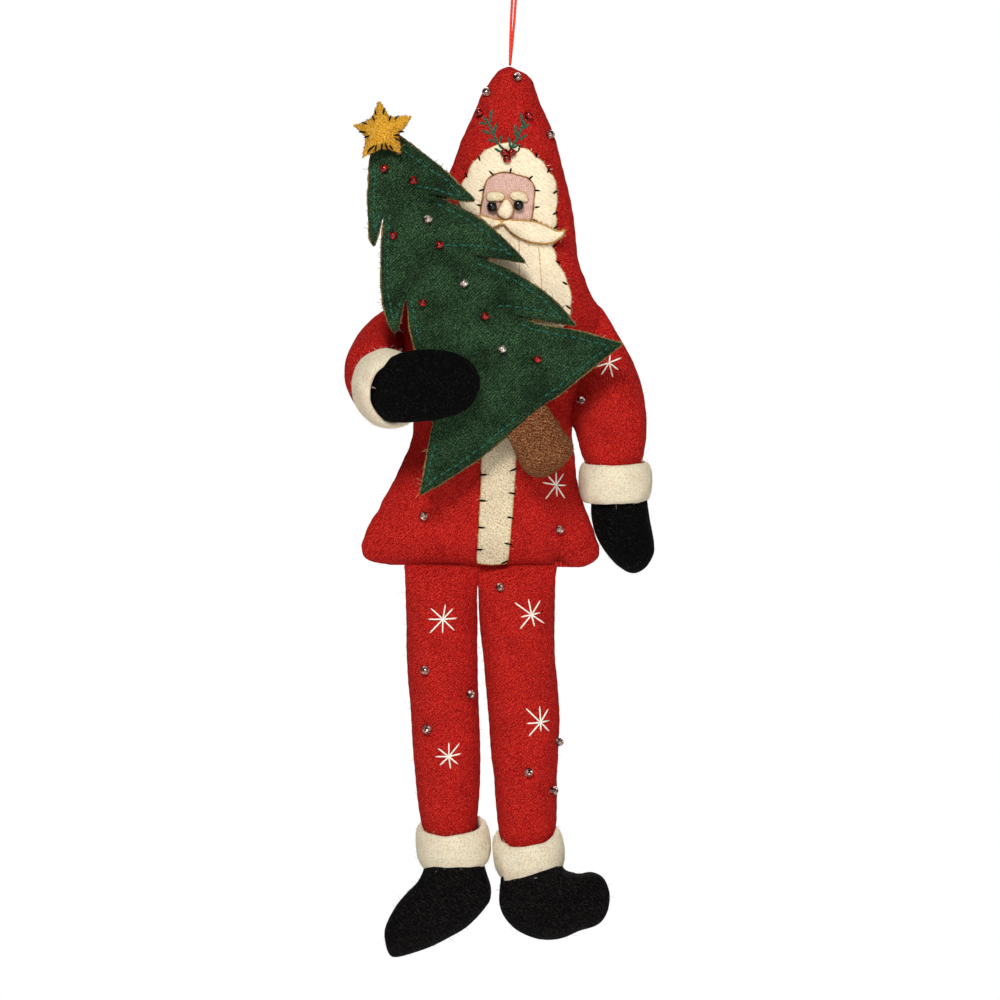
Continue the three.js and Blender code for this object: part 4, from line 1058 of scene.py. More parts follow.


# The felts of the face, laid on the coat
hole_line = stitched_line(FACE_HOLE, HOLE_STITCHES, spacing=0.6, pull=-0.2)
surround_line = stitched_line(SURROUND, OUTER_STITCHES)
patch = laid_felt(
    "face_felt", evenly(places(FACE_HOLE), 0.8), [], "face_patch", 0.8, 0.15,
    [pink_felt, pink_felt],
)
surround = laid_felt(
    "hood_edge_and_beard", surround_line, [hole_line], "face_surround_and_beard", 1.25,
    0.1, [cream_felt, cream_edge], dents=OUTER_STITCHES + HOLE_STITCHES,
)
on_face = Surface(coat, patch, surround)
black_stitches(
    "surround_stitches", "figure", on_face, OUTER_STITCHES, [SURROUND_MIDDLE] * len(OUTER_STITCHES),
    length=1.3,
)
black_stitches(
    "face_hole_stitches", "figure", on_face, HOLE_STITCHES, HOLE_STITCH_ENDS, length=1.5, radius=0.28
)


def puffed(name, pixels, node, height, surface, wool, radius=1.2, rim=0.3):
    """A small thick cut of cream felt with rounded edges."""
    spacing, lift, deepest, edge_share = 0.6, 0.05, 1.2, 0.35
    line = evenly(places(pixels), spacing * 0.8)
    shape = filled(line, (), spacing, rims=(0.18, 0.45))
    placed, _, _, depth = shape
    base = surface.fronts(placed)
    base = np.minimum(base, np.median(base) + deepest)
    top = base - lift - height * (edge_share + (1 - edge_share) * rounded(depth, radius))
    top -= 0.05 * noise(raised(placed, base), 1.6, 9)
    made = sheet_piece(name, shape, top, base - lift, "figure", [wool, cream_edge], rim=rim)
    return stand_for(made, [node])


LEFT_BROW = [
    (486.4, 195), (491, 192.6), (498, 192.4), (503.6, 194.5), (505, 198.6), (502, 202), (494, 202.8),
    (488.5, 202.6), (486, 199),
]
RIGHT_BROW = [
    (509.6, 194.4), (515.5, 192), (522, 192.4), (526.4, 195.6), (528.4, 200.5), (526, 203.4), (519, 202.6),
    (513.5, 201.6), (510, 198.4),
]
for name, outline, node in (("left_brow", LEFT_BROW, "brow_left"), ("right_brow", RIGHT_BROW, "brow_right")):
    puffed(name, outline, node, 1.2, on_face, brow_felt, rim=0.36)
MOUSTACHE = [
    (502, 220.8), (507, 220), (515, 220.4), (525, 221), (534, 221.8), (542, 224.4), (550, 228), (556, 231),
    (561, 231.2), (564, 229.6), (565, 232), (563.4, 236.6), (559, 240.4), (553, 244), (545, 245.2),
    (535, 244.6), (525, 242.2), (516, 237.8), (509, 232.4), (503.6, 226.4), (500, 226.4), (493, 229.8),
    (484, 233), (474, 234.4), (463, 232.6), (454, 227), (448, 219), (456, 218.6), (464, 219.4),
    (473, 216.8), (482, 215.8), (492, 218.6),
]
moustache = puffed("moustache_felt", MOUSTACHE, "moustache", 2.0, on_face, cream_felt, radius=1.8, rim=0.5)
NOSE = [
    (506, 199.6), (509.6, 201.6), (512.4, 206.5), (513.3, 212), (511.6, 216.8), (506.5, 220.6), (502, 219),
    (498.6, 217), (497.2, 213), (499.2, 208), (502, 203.4),
]
puffed("nose_felt", NOSE, "nose", 2.9, Surface(coat, patch), cream_felt, radius=1.6, rim=0.42)
EYES = {"left": (492, 208), "right": (518.3, 206.5)}
for side, pixel in EYES.items():
    eye = bead(
        f"eye_bead_{side}", Surface(patch), pixel, 1.5, 0.05, "figure", black_glass, black_glass, width=2.8,
        length=2.7, sink=0.4, barrel=0.85,
    )
    stand_for(eye, [f"eye_{side}"])

# Coat trim
TRIM = [
    (477.5, 430), (481, 445), (481, 475), (479.5, 505), (478, 535), (476.5, 558), (477, 563.5), (490, 565),
    (505, 564.5), (508.4, 561), (511, 535), (513.5, 505), (516, 475), (516.5, 452), (516, 430),
]
TRIM_STITCHES = [
    (481.5, 475), (480.5, 500.6), (479.3, 527.4), (477.8, 549.5), (515.8, 469), (514.4, 493.7),
    (512.8, 518), (510.8, 544.4), (507.4, 561),
]
TRIM_STITCH_ENDS = [
    (520, 475), (520, 502), (520, 529), (520, 551), (470, 471), (470, 495), (470, 520), (470, 546),
    (470, 566),
]
trim_line = evenly(places(TRIM), 0.7, curved=False)
trim_line = trim_line + 0.1 * unevenness(trim_line, 1.0, 8)[:, None]
trim = laid_felt(
    "coat_trim_felt", trim_line, [], "coat_trim", 1.1, 0.08, [trim_felt, cream_edge],
    dents=TRIM_STITCHES, furthest=-3.6,
)
black_stitches(
    "trim_stitches", "figure", Surface(coat, trim), TRIM_STITCHES, TRIM_STITCH_ENDS, length=1.8
)


# Limbs
FILL = 0.85  # how full of stuffing they are


def stuffed(name, sections, body, material, nodes, slot, fill=FILL, **shape):
    """A stuffed piece over sections, for some nodes of the frame."""
    return stand_for(loft(name, sections, body, material, **shape), nodes)


def stuffed_pouch(name, outline, height, body, material, node, slot, **shape):
    """A stuffed pouch over an outline of pixels, for a node of the frame."""
    made = pouch(name, evenly(places(outline), 0.55), height, body, material, **shape)
    return stand_for(made, [node])


# Legs, from the hem to the boot: pixel row, left edge, right edge, depth
LEFT_LEG = [
    (563.6, 405, 478.4, 0.9), (566, 403.4, 480.2, 1.9), (571, 403.4, 480.3, 3.1), (578, 403.8, 479.9, 4.5),
    (588, 404.4, 478.8, 5.9), (600, 404.8, 477.8, 6.9), (626, 405.6, 477.6, 7.6), (680, 407.8, 478.6, 7.6),
    (700, 409.8, 479.6, 7.6), (740, 411.8, 480.6, 7.5), (780, 414.8, 480.6, 7.4), (800, 416.8, 479.6, 7.3),
    (820, 419.8, 478.1, 7.1), (836, 423.2, 476.2, 6.8), (850, 428.8, 469.6, 6),
]
RIGHT_LEG = [
    (563.6, 477.2, 556.6, 0.9), (566, 475.5, 558.2, 1.9), (571, 475.5, 558.2, 3.1),
    (578, 475.9, 557.4, 4.5), (588, 476.7, 556.4, 5.9), (600, 477.9, 555.6, 6.9), (626, 479.7, 554.6, 7.6),
    (660, 483.1, 556, 7.6), (690, 486.1, 558, 7.6), (720, 488.5, 559.6, 7.6), (740, 489.5, 559.1, 7.5),
    (780, 493.5, 557.6, 7.4), (800, 495, 557.6, 7.3), (820, 496.9, 557.2, 7.1), (840, 500.1, 554.6, 6.8),
    (857, 505.5, 548.6, 6),
]
LEFT_BOOT = [
    (429, 846), (426, 857), (424.4, 865.8), (422, 873.4), (416.8, 882.6), (407.6, 891.8), (398.4, 902.5),
    (390.7, 914.8), (385.4, 927), (384.4, 936.2), (386.6, 948.5), (390.4, 955.6), (396.8, 957.2),
    (410.6, 953.8), (430.5, 946.9), (448.9, 937.7), (465.8, 927.8), (478, 916.3), (485.7, 907.1),
    (490.3, 899.4), (491, 887.2), (487.4, 874.9), (482.4, 860), (477, 848), (470, 841.5), (450, 840),
    (434, 841.5),
]
RIGHT_BOOT = [
    (504, 858), (501.4, 868), (500.6, 879.5), (499.4, 891), (499.2, 902.5), (502.2, 913.2), (508.4, 922.4),
    (517.8, 930.8), (533, 937.7), (548.5, 940), (563.8, 937.7), (579.3, 931), (594.4, 926.4),
    (602.4, 920.6), (608, 910), (609.8, 894.6), (605.6, 881), (599, 874.4), (590, 871.8), (580, 873.4),
    (573, 872.4), (565.4, 869.6), (561.4, 864), (557, 856), (550, 850), (528, 848), (510, 850),
]
HANGING_MITTEN = [
    (592, 496), (591, 505), (591.6, 518.6), (595.7, 535), (603.9, 550), (614, 562.4), (622, 568.8),
    (629.4, 572.8), (637.6, 572.6), (646.7, 566.5), (653.6, 554.3), (654.2, 544), (652.6, 533),
    (650.2, 521), (648.2, 508), (646, 496), (640, 490), (619, 488), (598, 490),
]


def leg(side, rows, boot_outline, beads):
    """A leg with its boot and its beads."""
    body = f"{side}_leg"
    made = stuffed(
        f"{side}_leg_stuffed",
        [section((left, row), (right, row), depth) for row, left, right, depth in rows], body, red_felt,
        [f"{side}_leg_felt", f"{side}_leg_stuffing"], "red_wool_felt", columns=84,
        dents=dents_on_legs[body], roundness=0.62, seed=4 if side == "left" else 7, lumps=0.25,
    )
    boot = stuffed_pouch(
        f"{side}_boot", boot_outline, 8.3, body, black_felt, f"{side}_boot_felt", "black_wool_felt", seed=12
    )
    surface = Surface(made)
    for index, (pixel, turn, tip) in enumerate(beads):
        sewn = bead(f"{body}_bead_{index + 1}", surface, pixel, turn, tip, body, rosy_glass, rosy_lining)
    return made, boot, surface


left_leg, left_boot, on_left_leg = leg("left", LEFT_LEG, LEFT_BOOT, LEG_BEADS["left_leg"])
right_leg, right_boot, on_right_leg = leg("right", RIGHT_LEG, RIGHT_BOOT, LEG_BEADS["right_leg"])


def cuff(
    name, node, body, centre, axis, across, half_width, half_depth, height, thickness, flare=0.5, bulge=0.7,
    lap=None, seed=1,
):
    """A thick felt band round the end of a limb, with rolled rims and its ends lapped."""
    centre = np.asarray(centre)
    axis = unit(np.asarray(axis, float))
    across = unit(np.asarray(across, float) - axis * np.dot(across, axis))
    deep = np.cross(across, axis)
    rounds, rows, profile = 120, 26, []
    for angle in np.linspace(0, 2 * math.pi, rows, endpoint=False):
        radial, along = math.cos(angle), math.sin(angle)
        profile.append((math.copysign(abs(radial) ** 0.75, radial), math.copysign(abs(along) ** 0.55, along)))
    turn = 2 * math.pi * np.arange(rounds) / rounds
    ring = np.stack([np.cos(turn), np.sin(turn), np.zeros(rounds)], 1)
    wobble = noise(ring * 2.2 + seed * 5, 1.3, seed)
    grid = np.zeros((rows, rounds, 3))
    for row, (radial, along) in enumerate(profile):
        spread = thickness / 2 * (1 + radial) + flare * (0.5 - along / 2) + bulge * (1 - along**2)
        lapped = 0
        if lap is not None:
            after = (turn - lap) % (2 * math.pi)
            step_up = 1.2 * np.exp(-after / 0.6) - 0.4 * bell(after - 2 * math.pi, 0.08)
            lapped = step_up * (0.6 + 0.4 * radial)
        uneven = 0.22 * wobble * (1 if along > 0 else 0.7) + lapped
        wide, far = half_width + spread + uneven, half_depth + spread + uneven
        shift = along * (height / 2 + 0.25 * noise(ring * 3 + seed, 1.1, seed + 2))
        grid[row] = (
            centre
            + across * (wide * np.cos(turn))[:, None]
            + deep * (far * np.sin(turn))[:, None]
            + axis * shift[:, None]
        )
    grid += 0.12 * noise(grid, 1.6, seed)[..., None] * unit(grid - centre)
    mean = (half_width + half_depth) / 2 + thickness
    lengths = walked_along(np.vstack([grid[:, 0], grid[:1, 0]]))
    uvs = woven_map(np.append(turn, 2 * math.pi) * mean, lengths)
    faces = woven(rows, rounds, closed=True)
    made = make_mesh(name, grid.reshape(-1, 3), faces, body, corner_uvs=uvs, materials=[cuff_felt])
    return stand_for(made, [node])


def place_of(pixel, y=0.0):
    """A pixel's place in space, at a y."""
    x, z = at(*pixel)
    return (x, y, z)


LEFT_ANKLE, RIGHT_ANKLE, WRIST = (453.3, 844), (528.6, 852), (615.4, 481.8)
left_cuff = cuff(
    "left_ankle_cuff_felt", "left_ankle_cuff", "left_leg", place_of(LEFT_ANKLE, 0.4), (0.08, 0.4, -1),
    (1, 0, 0.1), 6.8, 6.4, 11.4, 2.6, flare=0.3, bulge=0.6, seed=3,
)
right_cuff = cuff(
    "right_ankle_cuff_felt", "right_ankle_cuff", "right_leg", place_of(RIGHT_ANKLE, 0.4), (0.1, 0.48, -1),
    (1, 0, 0.12), 6.4, 6.2, 11.4, 2.6, flare=0.2, bulge=0.6, lap=math.pi + 0.74, seed=6,
)

# Hanging arm, from the shoulder to the wrist: inner edge, outer edge, depth
HANGING_ARM = [
    ((563.5, 419.5), (594, 302), 0.9), ((567, 421.5), (602.5, 308), 2.2), ((570, 424), (611, 320), 3.9),
    ((572, 427), (620, 336), 5.6), ((574, 430), (630.5, 355), 6.8), ((575.5, 434), (639, 375), 7.4),
    ((577, 440), (645.2, 396), 7.5), ((578.6, 447), (647.6, 418), 7.5), ((581, 455), (646.6, 437), 7.4),
    ((585, 464), (643, 458), 7.3), ((588, 476), (641, 476), 7.0),
]
arm = stuffed(
    "hanging_arm_stuffed", [section(*row) for row in HANGING_ARM], "hanging_arm", red_felt,
    ["hanging_arm_felt", "hanging_arm_stuffing"], "red_wool_felt", columns=84, seed=15, roundness=0.6,
    lumps=0.28,
)
on_arm = Surface(arm)
mitten = stuffed_pouch(
    "hanging_mitten", HANGING_MITTEN, 7.3, "hanging_arm", mitten_felt, "hanging_mitten_felt",
    "black_wool_felt", seed=18,
)
arm_cuff = cuff(
    "hanging_arm_cuff_felt", "hanging_arm_cuff", "hanging_arm", place_of(WRIST), (0.02, 0.1, -1),
    (1, 0, 0.03), 7.2, 6.9, 10.6, 2.0, flare=0.2, bulge=0.7, seed=9,
)


# The seams of the legs: their left and right ends, the rows of their edges and of the bend, and how
# far from there they bend, in metres
LEG_SEAMS = {"left_leg": (408, 477.6), "right_leg": (478, 553)}
LEG_SEAM_EDGES, LEG_SEAM_ROW, LEG_SEAM_REACH = (560, 577), 565.2, 0.0007
# The seam of the hanging arm: its edges on the coat and on the arm
ARM_SEAM_UPPER = [(566, 419), (575, 390), (584, 360), (590, 340), (597, 315)]
ARM_SEAM_LOWER = [(575, 421), (584, 392), (593, 361), (599, 341), (605, 319)]


def hinge_strip(name, upper, lower, levels=7, spacing=0.8, thickness=0.7):
    """The flat seam between two lines of pixels, which joins a limb to the coat."""
    upper, lower = np.asarray(upper, float), np.asarray(lower, float)
    rows = [upper + (lower - upper) * share for share in np.linspace(0, 1, levels)]
    rows = [evenly(places(row), spacing, closed=False) for row in rows]
    count = min(len(row) for row in rows)
    rows = [resampled(row, np.linspace(0, 1, len(row)), np.linspace(0, 1, count)) for row in rows]
    points, faces = [], []
    for side in (-1, 1):
        for row in rows:
            points += [(x, side * thickness / 2 + 0.06 * math.sin(2.2 * x + z), z) for x, z in row]
    half = levels * count
    for layer in range(2):
        faces += woven(levels, count, layer * half, ring=False)
    for step in range(count - 1):
        for low in (step, (levels - 1) * count + step):
            faces.append((low, low + 1, low + 1 + half, low + half))
    for level in range(levels - 1):
        for low in (level * count, (level + 1) * count - 1):
            faces.append((low, low + count, low + count + half, low + half))
    uvs = [(x, z) for x, _, z in points]
    made = make_mesh(name, points, faces, None, point_uvs=uvs, materials=[red_felt])
    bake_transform(made)
    return made


for leg_body, (left, right) in LEG_SEAMS.items():
    upper, lower = ([(left, row), (right, row)] for row in LEG_SEAM_EDGES)
    hinge_strip(
        f"{leg_body}_seam", upper, lower
    )
hinge_strip(
    "hanging_arm_seam", ARM_SEAM_UPPER, ARM_SEAM_LOWER,
)

# Holding arm, from its seam to the wrist, and its mitten. Each row is right, up, forward, half height, half
# depth and turn in degrees. Forward is a share of the arm's reach and the others are shares of its length.
ARM, ARM_REACH = 43.2, 28.4
HOLDING_ARM_SHARES = [
    (-0.069, 0.045, 0.02, 0.36, 0.1, 10), (-0.156, 0.012, 0.09, 0.345, 0.146, 30),
    (-0.212, -0.012, 0.23, 0.285, 0.165, 55), (-0.208, -0.02, 0.385, 0.212, 0.168, 80),
    (-0.14, -0.09, 0.5, 0.2, 0.15, 98), (-0.085, -0.125, 0.7, 0.155, 0.13, 112),
]
HOLDING_MITTEN_SHARES = [
    (-0.09, -0.131, 0.711, 0.185, 0.13, 112), (-0.052, -0.124, 0.885, 0.208, 0.12, 128),
    (0.015, -0.112, 0.94, 0.224, 0.12, 152), (0.085, -0.106, 0.968, 0.228, 0.118, 168),
    (0.165, -0.1, 0.985, 0.226, 0.116, 178), (0.288, -0.094, 1, 0.206, 0.11, 180),
    (0.388, -0.094, 0.995, 0.165, 0.095, 180), (0.445, -0.09, 0.985, 0.11, 0.065, 180),
    (0.475, -0.088, 0.975, 0.04, 0.02, 180),
]
SEAM_FOOT, SEAM_TOP = at(412, 421), at(396, 319)  # the seam that sews it to the coat


def turned_sections(rows):
    """Sections that turn as the arm goes round to the front."""
    middle = (SEAM_FOOT + SEAM_TOP) / 2
    made = []
    for right, up, forward, half, depth, turn in rows:
        angle = math.radians(turn)
        centre = (middle[0] + right * ARM, -forward * ARM_REACH, middle[1] + up * ARM)
        back = np.array([-math.sin(angle), math.cos(angle), 0]) * depth * ARM
        made.append((centre, (0, 0, half * ARM), tuple(back)))
    return made


seam_x, seam_z = (SEAM_FOOT + SEAM_TOP) / 2
half_x, half_z = (SEAM_TOP - SEAM_FOOT) / 2
holding_sections = [
    ((seam_x + 1.4, 0, seam_z), (half_x, 0, half_z), (0, 1.6, 0)),
    ((seam_x - 0.2, 0, seam_z + 0.8), (half_x, 0, 1.1 * half_z), (0, 3.0, 0)),
    *turned_sections(HOLDING_ARM_SHARES),
]
holding_arm = stuffed(
    "holding_arm_stuffed", holding_sections, "figure", red_felt, ["holding_arm_felt", "holding_arm_stuffing"],
    "red_wool_felt", columns=84, seed=22, roundness=0.6, lumps=0.28,
)

# Fir tree
TREE = [
    (391, 135), (401, 139.5), (412, 147), (423.7, 155.8), (433.5, 163), (443, 171), (450.5, 177.8),
    (457, 184.6), (466, 192.5), (475.6, 202.6), (466, 203), (456, 201.6), (445, 198.4), (429.5, 195.6),
    (440, 200), (452, 205.4), (462, 210.4), (472.7, 216), (482.5, 222.4), (491.8, 229.6), (501, 238),
    (510, 246.6), (518, 255), (526, 264.4), (512, 262), (500, 260.4), (486, 258.4), (470.7, 255.4),
    (484, 260.8), (498, 266), (508.6, 271), (519.4, 277), (531, 284), (542.4, 292), (551, 299), (559, 307),
    (567.5, 316.6), (576, 327), (560, 324.6), (545, 321.8), (529, 319.2), (513.3, 315.9), (525, 320.6),
    (537.8, 325.2), (553, 328), (568.4, 330.2), (586, 334.4), (603, 339.6), (622.4, 344), (617, 349),
    (611.4, 353), (601, 361), (580.4, 377.6), (559.7, 394.8), (543.6, 404.6), (520, 424), (497, 444.2),
    (481.6, 457), (457, 473.8), (438, 485.2), (420.4, 495), (424, 477), (427, 459), (431.8, 434),
    (434, 422), (417, 407), (416.5, 375), (415, 347), (410, 326), (408.9, 311), (406, 298), (402.5, 313),
    (399.7, 325), (395.7, 335), (389.4, 326), (384.2, 306), (382.2, 286), (382, 268), (382.3, 250),
    (383.4, 233), (384.6, 216), (381, 226), (378.8, 235), (374.7, 248), (370.2, 239), (369, 220),
    (368.6, 202), (369.6, 182), (371, 160), (376, 146), (383, 136),
]
TOPSTITCH = [
    [
        (398, 147), (408, 155), (418.5, 162.7), (429.8, 170.4), (441, 178.4), (452.2, 187.6),
        (461.5, 197.4), (450, 195.6), (438, 192), (425, 189.4), (411, 188),
    ],
    [
        (436, 205.5), (449, 211.6), (466, 221), (478.8, 229.4), (492, 240), (510.5, 255.4), (502.7, 252.4),
        (491.5, 249.4), (473.2, 247), (456.4, 246.4), (444, 247.2),
    ],
    [
        (476, 264.6), (500, 274.6), (517, 283.6), (535, 295.4), (548, 306.4), (561, 318.4), (545.3, 314.6),
        (531.9, 310.8), (510.4, 307.6), (493, 308.3),
    ],
    [
        (519, 325), (537, 331.4), (568, 337.6), (590, 342.4), (607, 347), (596, 356.4), (577, 371.6),
        (556, 388.8), (540, 398.4),
    ],
    [
        (517, 417), (494, 437.4), (478, 450.4), (454.6, 466.6), (437, 477.4), (428, 484), (431, 462),
        (436.6, 436),
    ],
    [(421, 345), (415.4, 322), (412, 300)],
    [(400.6, 302), (396, 320), (391.4, 311), (388.4, 287), (388.2, 262), (389, 240), (390.6, 214)],
    [(380.6, 214), (375.6, 232), (374.6, 202), (375.6, 182), (377, 163)],
]
# The slits: their ends in the front felt, and where they start, stop and end in the back felt
NOTCHES = [(429.5, 195.6), (470.7, 255.4), (513.3, 315.9), (406, 298), (384.6, 216)]
BACK_SLITS = [((445, 198.4), (440, 200)), ((486, 258.4), (484, 260.8)), ((529, 319.2), (525, 320.6))]
BACK_NOTCHES = [(446, 201.4), (488, 260.2), (530, 321)]


def outward_of(line):
    """The direction away from the felt at each point of its outline."""
    tangent = tangents(line)
    outwards = np.stack([tangent[:, 1], -tangent[:, 0]], 1)
    return -outwards if inside(line[:60] + 0.2 * outwards[:60], line).mean() > 0.5 else outwards


def tree_outline(back=False):
    """The cut edge. The back felt stands out a little past the front, and its slits are shorter."""
    pixels = list(TREE)
    if back:
        for (first, last), notch in zip(BACK_SLITS, BACK_NOTCHES):
            start, end = pixels.index(first), pixels.index(last)
            pixels[start : end + 1] = [notch]
    line = smoothed(evenly(places(pixels), 0.62, curved=False), 0.25)
    away = 0.15 * unevenness(line, 0.8, 37 if back else 31)
    if back:
        corners = places(NOTCHES + BACK_NOTCHES)
        near = np.min(np.linalg.norm(line[:, None] - corners[None], axis=2), axis=1)
        away += (0.34 + 0.16 * unevenness(line, 6, 38)) * (1 - bell(near, 2.8))
    return line + outward_of(line) * away[:, None]


def tree_form(back=False):
    """The shape of one felt of the tree, and what swells, presses and lifts it."""
    shape = filled(tree_outline(back), (), 0.85, rims=(0.26, 0.6))
    placed, _, _, depth = shape
    full, rim, reach = 4.3, 1.4, 7.5
    pressed = np.zeros(len(placed))
    for run in TOPSTITCH:
        near = distance_to_line(placed, evenly(places(run), 1.0, closed=False), closed=False)
        pressed = np.maximum(pressed, bell(near, 0.9))
    swell = full * (1 - np.exp(-((np.maximum(depth - rim, 0) / reach) ** 1.35)))
    spots = closeness(placed, [pixel for pixel, _, _ in TREE_BEADS.values()], 2.7)
    space = raised(placed, swell)
    lumps = 0.55 * noise(space, 8, 41) * np.clip(depth / 6, 0, 1)
    thick = FELT * (0.6 + 0.4 * rounded(depth, 0.4))
    lift = 0.35 * noise(space, 12, 44) * np.clip(1 - depth / 4, 0, 1)
    return shape, swell, lumps, spots, pressed * np.clip(depth / 3, 0, 1), lift, thick


def tree():
    """The two felts of the tree. The front one, which carries the beads and the star, is returned."""
    felts = [green_felt, raw_edge]
    gap, bead_dent, stitch_dent, back_stitch_dent = 0.12, 0.8, 0.42, 0.3
    shape, swell, lumps, spots, pressed, lift, thick = tree_form()
    full = np.maximum(swell + lumps - bead_dent * spots - stitch_dent * pressed, 0)
    inner = TREE_PLANE - gap - full + lift
    front = sheet_piece("tree_front_felt", shape, inner - thick, inner, "figure", felts)
    shape, swell, lumps, _, pressed, lift, thick = tree_form(back=True)
    inner = TREE_PLANE + gap + np.maximum(swell + lumps * 0.5 - back_stitch_dent * pressed, 0) + lift
    back = sheet_piece("tree_back_felt", shape, inner, inner + thick, "figure", felts, rim=0.62)
    stand_for(front, ["tree_front", "tree_stuffing"])
    stand_for(back, ["tree_back"])
    return front


tree_front = tree()
on_tree = Surface(tree_front)


def frayed_edge(name, line, near_y, spread, count, reach, materials, radius=0.07, share=0.25, seed=77):
    """Loose ends of the weave along a cut edge. A share of them takes the second material."""
    line = evenly(line, 0.3, curved=False)
    outwards = outward_of(line)
    local = np.random.default_rng(seed)
    paths, kinds = [], []
    for index in local.choice(len(line), count):
        long = reach * (0.3 + 1.4 * local.random() ** 3)
        x, z = outwards[index]
        way = np.array([x, 0.5 * local.standard_normal(), z])
        way = unit(way + 0.5 * local.standard_normal(3))
        place = near_y(line[index]) + local.uniform(-spread, spread)
        root = np.array([line[index, 0], place, line[index, 1]]) - 0.15 * np.array([x, 0, z])
        shares = np.linspace(0, 1, 5)
        curl = 0.5 * long * local.standard_normal(3)
        paths.append(root + np.outer(shares * long, way) + np.outer(shares**2, curl))
        kinds.append(int(local.random() < share))
    return tubes(name, paths, radius, "figure", materials, sides=3, taper=0.5, kinds=kinds)


def face_edge(name, pixels, surface, lifted, count, materials, share):
    """The frayed edge of a felt on the face."""
    edge = evenly(places(pixels), 0.6)
    depths = surface.fronts(edge)
    deepest = np.median(depths) + 3

    def depth_of(place):
        found = depths[np.argmin(np.linalg.norm(edge - place, axis=1))]
        return min(found, deepest) - lifted

    frayed_edge(name, edge, depth_of, 0.3, count, 0.4, materials, radius=0.075, share=share, seed=len(name))


frayed_edge(
    "tree_frayed_edge", tree_outline(), lambda place: TREE_PLANE - 0.1, 1.0, 1000, 0.8,
    [fibre_green, fibre_tan],
)
for name, outline, surface, lifted, count, wool, share in (
    ("moustache_edge_fibres", MOUSTACHE, on_face, 0.5, 800, fibre_gold, 0.3),
    ("face_hole_edge_fibres", FACE_HOLE, on_face, 0.5, 520, fibre_gold, 0.3),
    ("hood_edge_fibres", SURROUND, on_coat, 0.5, 160, fibre_cream, 0.15),
    ("nose_edge_fibres", NOSE, on_face, 0.7, 260, fibre_gold, 0.3),
):
    face_edge(name, outline, surface, lifted, count, [wool, fibre_tan], share)


def dashes(line, dash, gap):
    """Pieces of a line with gaps between them."""
    fine = evenly(line, 0.2, closed=False)
    walked = walked_along(fine)
    start, made = 0.2, []
    while start + dash < walked[-1]:
        long = dash * rng.uniform(0.75, 1.25)
        piece = resampled(fine, walked, np.linspace(start, min(start + long, walked[-1]), 5))
        piece = piece + 0.09 * rng.standard_normal(2)
        made.append(piece + np.outer([-1, 0, 0, 0, 1], 0.07 * rng.standard_normal(2)))
        start += long + gap * rng.uniform(0.6, 1.5)
    return made


def topstitch():
    """The teal running stitch inside the edge of the tree."""
    paths = []
    for run in TOPSTITCH:
        for line in dashes(places(run), 1.6, 0.5):
            path = on_tree.lifted(line, 0.12)
            path[[0, -1], 1] += 0.3
            path[2, 1] -= 0.04
            paths.append(path)
    tubes("tree_topstitch", paths, 0.2, "figure", [teal_thread])


topstitch()

# Trunk, from the tree down: left edge, right edge, depth
TRUNK = [
    ((497, 421), (533, 393), 0.4), ((501, 428.5), (539, 400), 0.5), ((504.6, 435.5), (545.5, 404), 0.7),
    ((508, 441.5), (551, 411.5), 1.9), ((511.6, 448.5), (557, 422.5), 3.7), ((516, 458), (565, 433.5), 4.7),
    ((520.5, 467.5), (571.6, 441.4), 4.7), ((525.5, 474), (574, 449), 3.8),
    ((532, 477.6), (570.6, 457.5), 2.6), ((540, 478.6), (564, 465), 1.4), ((546, 477), (558.5, 470), 0.6),
    ((549, 475.4), (554.6, 472.4), 0.2),
]
trunk = loft(
    "trunk_stuffed", [section(left, right, depth, TREE_PLANE) for left, right, depth in TRUNK], "figure",
    brown_felt, seed=25, lumps=0.3, spacing=0.8, roundness=0.6,
)
stand_for(trunk, ["trunk_front", "trunk_back", "trunk_stuffing"])

STAR = [
    (380.6, 103), (386, 112), (391.5, 119.5), (401, 119), (413, 118.8), (407.4, 128), (399.4, 138),
    (400.4, 147), (402.4, 156.8), (392.6, 152.6), (382.6, 150.8), (373, 155.6), (363.4, 160.8),
    (365.4, 150), (366.4, 140), (360.6, 134), (354.2, 127.6), (364, 125.6), (373.6, 119.6), (376.6, 111),
]
STAR_INNER = [(391.5, 119.5), (399.4, 138), (382.6, 150.8), (366.4, 140), (373.6, 119.6)]
STAR_SEAT, STAR_LIFT = (388, 143), 2.7  # where the star sits on the tree, and how far in front
STAR_CENTRE, STAR_STITCH_END = (383, 133), (383, 134)
STAR_STITCHES = [
    (372, 151.6), (376.4, 152.6), (388, 150.6), (393, 151.6), (399.6, 143), (403.6, 134.4), (399, 119.2),
    (385, 112.6), (361.6, 134.8), (376, 114), (369, 155), (364, 125.6),
]


